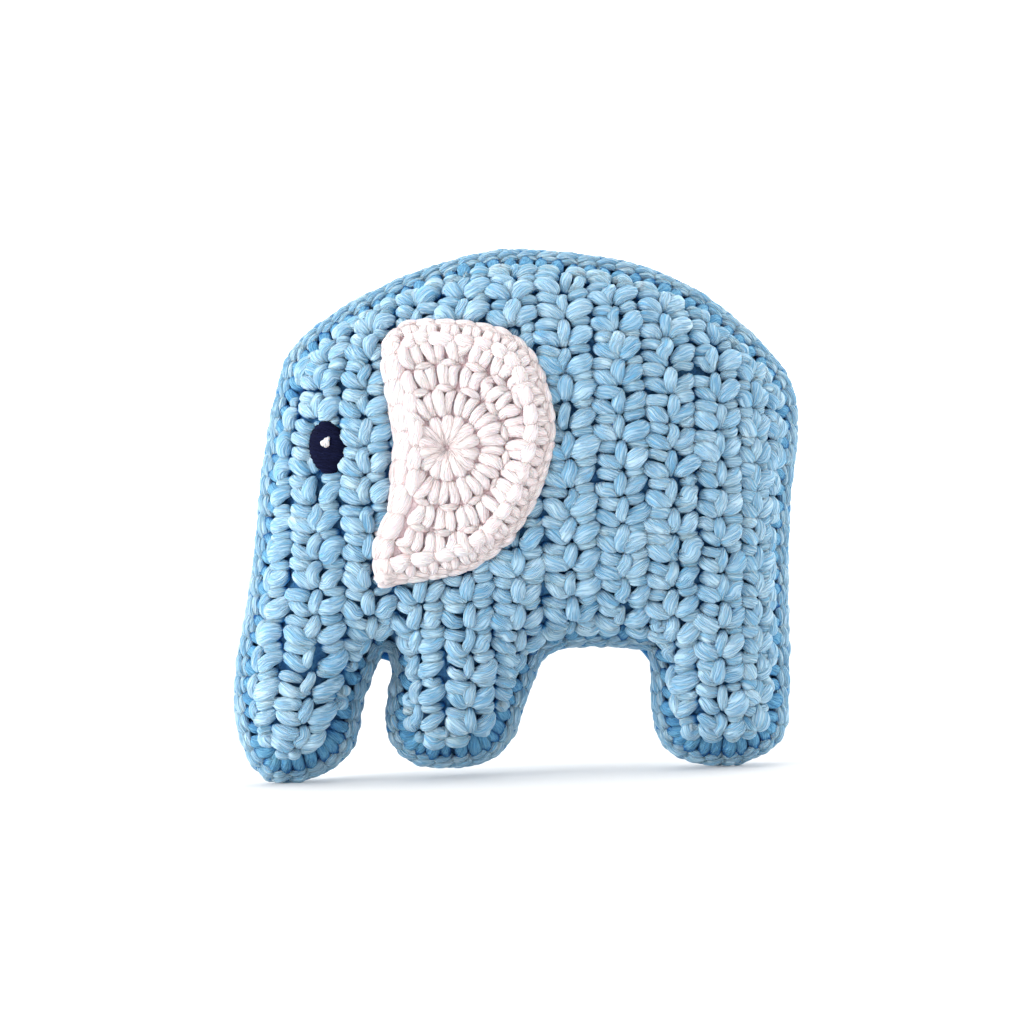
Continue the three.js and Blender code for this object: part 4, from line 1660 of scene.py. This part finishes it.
@dataclass
class Elephant:
    """The toy as it is made up: stuffed panels, a joining round, ears and eyes.

    Args:
        rng: Source of the small differences between stitches.
        outline: The toy's outline.
        surfaces: The fabric of each side.
        seam: Width of the flat round that the two fabrics are sewn to.
        made: The pieces, each with the name of its finish.
    """

    RISE = 14
    UNDER_STITCHES = 0.9
    SKIN_OUT = -0.5
    SKIN_IN = -1.9
    SEAM_OUT = 1.6
    SEAM_IN = 0.5
    RING_ALONG = 0.423
    RING_UP = 0.5125

    rng: np.random.Generator = field(default_factory=lambda: np.random.default_rng(SEED))
    outline: Outline = field(init=False)
    surfaces: dict[int, Surface] = field(init=False)
    seam: float = 3.2
    made: list[tuple[bpy.types.Object, str]] = field(default_factory=list)

    def build(self) -> None:
        """Make every piece."""
        self.outline = Outline(wall_loop("edging_round"))
        crown = -box_mm("left_panel")[0][1]
        stuffing = Stuffing(self.outline, self.seam, reach=self.RISE, crown=crown - self.UNDER_STITCHES)
        heights = stuffing.settled()
        self.surfaces = {side: Surface(heights[side], side) for side in (LEFT, RIGHT)}
        for name in ("body_filling", "trunk_filling", "front_leg_filling", "rear_leg_filling"):
            self.keep(wad(name, self.rng), "fibre")
        flat, faces = stuffing.sheet()
        for side in (LEFT, RIGHT):
            self.panel(side, flat, faces)
            self.ear(side)
            self.eye(side)
        self.edge()

    def keep(self, obj: bpy.types.Object, finish: str) -> bpy.types.Object:
        """Note a piece and its finish."""
        self.made.append((obj, finish))
        log.info("%s: %d faces", obj.name, len(obj.data.polygons))
        return obj

    def yarn(
        self, name: str, body: str, slot: Slot, batches: list[Strands], finish: str = "", **levels: float
    ) -> bpy.types.Object:
        """Make a piece of yarn.

        Args:
            name: The piece's name.
            body: The body that it rides on.
            slot: Its material slot.
            batches: Its strands.
            finish: Its finish, where the slot has more than one.
            levels: The heights between which its painted shade runs from dark to light.

        Returns:
            The piece.
        """
        piece = YarnPiece(name, body, slot, batches=batches, **levels)
        return self.keep(piece.build(self.rng), finish or slot.value)

    def panel(self, side: int, flat: np.ndarray, faces: np.ndarray) -> None:
        """Make one side's fabric and the stitches on it.

        Args:
            side: LEFT or RIGHT.
            flat: Points in the side view, inside the seam.
            faces: Their triangles.
        """
        word = side_name(side)
        surface = self.surfaces[side]
        x, z = flat[:, 0], flat[:, 1]
        ones = np.ones(len(flat))
        edge = self.outline.distance.at(x, z) < self.seam + Stuffing.AT_SEAM
        outer = surface.place(x, z, self.SKIN_OUT * ones)
        inner = surface.place(x, z, self.SKIN_IN * ones)
        outer[edge, 1] = side * self.SEAM_OUT
        inner[edge, 1] = side * self.SEAM_IN
        skin = closed_shell(f"{word}_panel_fabric", outer, inner, faces, side, "body")
        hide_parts(f"{word}_panel")
        # The skin's dark blue is painted shade in the gaps between the stitches
        self.keep(skin, "under")
        covers = (Ear(side, surface, (0, 0)).outline.distance, Eye(side, surface).outline().distance)
        drawn = PanelStitches(self.outline, surface, self.seam, covers=covers).strands(self.rng)
        for kind, strands in drawn.items():
            self.yarn(f"{word}_{kind}_stitches", "body", Slot.BLUE, [strands])

    def edge(self) -> None:
        """Make the round that joins the sides."""
        work = EdgeRound(self.outline, self.surfaces, self.seam)
        # The band's dark blue is painted shade under the rim's strands
        self.keep(work.band(), "under")
        for side in (LEFT, RIGHT):
            word = side_name(side)
            batches = [
                work.chain(side, work.CHAIN, work.CHAIN_WIDTH, self.rng),
                work.chain(side, work.UNDER, work.UNDER_WIDTH, self.rng),
            ]
            # The chain's levels set its painted shade
            self.yarn(f"{word}_edge_chain", "body", Slot.BLUE, batches, deepest=0.2, highest=3.0)
            # The posts' lower shade levels and darker yarn are painted shade in the groove behind the rim
            self.yarn(
                f"{word}_edge_posts", "body", Slot.BLUE, [work.posts(side, self.rng)], deepest=-0.4,
                highest=2.2, finish="posts",
            )
        # The core's levels colour it dark as painted shade under the chain
        self.yarn("edge_core", "body", Slot.BLUE, [work.core()], highest=4.0)

    def ear(self, side: int) -> None:
        """Make one ear.

        Args:
            side: LEFT or RIGHT.
        """
        word = side_name(side)
        low, high = box_mm(f"{word}_ear")
        ring = (
            low[0] + self.RING_ALONG * (high[0] - low[0]),
            low[2] + self.RING_UP * (high[2] - low[2]),
        )
        work = Ear(side, self.surfaces[side], ring)
        body = f"{word}_ear_flap"
        # The plate's darker colour is painted shade between the ear's strands
        plate = self.keep(work.plate_object(), "ear_shade_sheet")
        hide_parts(f"{word}_ear")
        # The levels set where the painted shade of the ear's yarn runs from dark to light
        rounds = self.yarn(
            f"{word}_ear_rounds", body, Slot.EAR, work.rounds(self.rng), deepest=-0.5, highest=2.1
        )
        edge = self.yarn(
            f"{word}_ear_edge", body, Slot.EAR, work.edge(self.rng), deepest=-0.9, highest=1.7
        )
        thread = self.yarn(f"{word}_ear_stitching", "body", Slot.EAR, [work.whip_stitches(self.rng)])
        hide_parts(f"{word}_ear_thread")

    def eye(self, side: int) -> None:
        """Make one eye.

        Args:
            side: LEFT or RIGHT.
        """
        word = side_name(side)
        work = Eye(side, self.surfaces[side])
        eye = self.yarn(f"{word}_eye_stitches", "body", Slot.NAVY, [work.stitches(12, 1.75, 0.8, 12)])
        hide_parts(f"{word}_eye")
        # These levels keep the light stitch free of painted shade
        glint = self.yarn(
            f"{word}_glint_stitch", "body", Slot.WHITE, [work.glint()], deepest=-2.0, highest=1.0
        )
        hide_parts(f"{word}_eye_glint")

    def dress(self) -> None:
        """Give every piece its finish."""
        filaments, painted_shade = filament_group(), painted_shade_group()
        finishes = {
            Slot.BLUE.value: BLUE.material(filaments, painted_shade),
            # The posts take the darker copy of the blue yarn as painted shade
            "posts": SHADED_POSTS.material(filaments, painted_shade),
            Slot.EAR.value: PINK_WHITE.material(filaments, painted_shade),
            Slot.NAVY.value: NAVY.material(filaments, painted_shade),
            Slot.WHITE.value: WHITE.material(filaments, painted_shade),
            # The dark sheet colour is painted shade in the gaps
            "under": UNDER.material(),
            "ear_shade_sheet": EAR_SHADE_SHEET.material(),
            "fibre": FIBRE.material(),
        }
        for obj, finish in self.made:
            obj.data.materials.clear()
            obj.data.materials.append(finishes[finish])


@dataclass
class Studio:
    """A white room with soft light, darker behind the camera, and the camera.

    Args:
        distance: From the camera to the toy's middle plane.
        middle: Height that the camera looks at.
        rise: How much higher the camera stands.
        width: Width of the view at the toy.
        roll: The camera's lean to one side, in degrees.
        sky: Strength of the soft light from behind the toy.
        dusk: Strength of the soft light from the front.
        table: Light that comes up through the floor.
        wall: Light that comes through the back wall.
    """

    ASIDE = -0.0004
    SENSOR = 36

    distance: float = 1.2
    middle: float = 0.060
    rise: float = 0.025
    width: float = 0.2348
    roll: float = 2.18
    sky: float = 1.32
    dusk: float = 0.38
    table: float = 0.08
    wall: float = 1.15

    def build(self) -> None:
        """Make the floor, the wall, the lights, the sky and the camera."""
        self.lit_plane("floor", (0, 0, -0.0002), 0.0, 0.72, self.table)
        self.lit_plane("backdrop", (0, 1.6, 2.9), math.pi / 2, 0.8, self.wall)
        self.heaven()
        self.light("key", (-0.95, -0.45, 0.35), 0.6, 11)
        self.light("side_fill", (0.95, -0.12, 0.25), 0.7, 4.5)
        self.light("overhead", (0.0, 0.15, 0.9), 0.7, 2.0)
        bpy.context.scene.view_settings.view_transform = "Standard"
        self.camera()

    def heaven(self) -> None:
        """Surround the toy with soft light that fades towards the front."""
        world = bpy.data.worlds.new("white_room")
        bpy.context.scene.world = world
        world.use_nodes = True
        tree = world.node_tree
        ways = tree.nodes.new("ShaderNodeTexCoord")
        split = tree.nodes.new("ShaderNodeSeparateXYZ")
        fade = tree.nodes.new("ShaderNodeMapRange")
        limits = {"From Min": -1.0, "From Max": 0.1, "To Min": self.dusk, "To Max": self.sky}
        for name, value in limits.items():
            fade.inputs[name].default_value = value
        tree.links.new(ways.outputs["Generated"], split.inputs[0])
        tree.links.new(split.outputs[1], fade.inputs["Value"])
        tree.links.new(fade.outputs[0], tree.nodes["Background"].inputs["Strength"])
        tree.nodes["Background"].inputs["Color"].default_value = (1, 1, 1, 1)

    def lit_plane(
        self, name: str, place: tuple[float, float, float], tilt: float, pale: float, glow: float
    ) -> None:
        """Set a white sheet that is lit from behind.

        Args:
            name: Its name.
            place: Its middle.
            tilt: Its turn about the toy's length, in radians.
            pale: How much light it throws back.
            glow: How much light comes through it.
        """
        bpy.ops.mesh.primitive_plane_add(size=6, location=place, rotation=(tilt, 0, 0))
        sheet = bpy.context.object
        sheet.name = name
        material = bpy.data.materials.new(f"lit_{name}")
        material.use_nodes = True
        surface = material.node_tree.nodes["Principled BSDF"]
        surface.inputs["Base Color"].default_value = (pale, pale, pale, 1)
        surface.inputs["Roughness"].default_value = 0.9
        surface.inputs["Specular IOR Level"].default_value = 0.1
        surface.inputs["Emission Color"].default_value = (1, 1, 1, 1)
        surface.inputs["Emission Strength"].default_value = glow
        sheet.data.materials.append(material)

    def light(self, name: str, place: tuple[float, float, float], size: float, power: float) -> None:
        """Hang a square lamp that faces the toy.

        Args:
            name: The lamp's name.
            place: Where it hangs.
            size: Its side.
            power: Its power in watts.
        """
        lamp = bpy.data.lights.new(name, "AREA")
        lamp.size = size
        lamp.energy = power
        obj = bpy.data.objects.new(name, lamp)
        bpy.context.scene.collection.objects.link(obj)
        obj.location = place
        sight = Vector((0, 0, self.middle)) - Vector(place)
        obj.rotation_euler = sight.to_track_quat("-Z", "Y").to_euler()

    def camera(self) -> None:
        """Set the camera level with the toy's middle, facing its left side."""
        data = bpy.data.cameras.new("camera")
        data.sensor_width = self.SENSOR
        data.lens = self.SENSOR * self.distance / self.width
        camera = bpy.data.objects.new("camera", data)
        bpy.context.scene.collection.objects.link(camera)
        place = Vector((self.ASIDE, -self.distance, self.middle + self.rise))
        sight = Vector((self.ASIDE, 0, self.middle)) - place
        turn = sight.to_track_quat("-Z", "Y").to_matrix().to_4x4()
        lean = Matrix.Rotation(-math.radians(self.roll), 4, "Z")
        camera.matrix_world = Matrix.Translation(place) @ turn @ lean
        bpy.context.scene.camera = camera


def main() -> None:
    """Build the toy and the studio in order."""
    logging.basicConfig(level=logging.INFO, format="%(message)s")
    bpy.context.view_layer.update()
    toy = Elephant()
    toy.build()
    toy.dress()
    Studio().build()


if __name__ == "__main__":
    main()
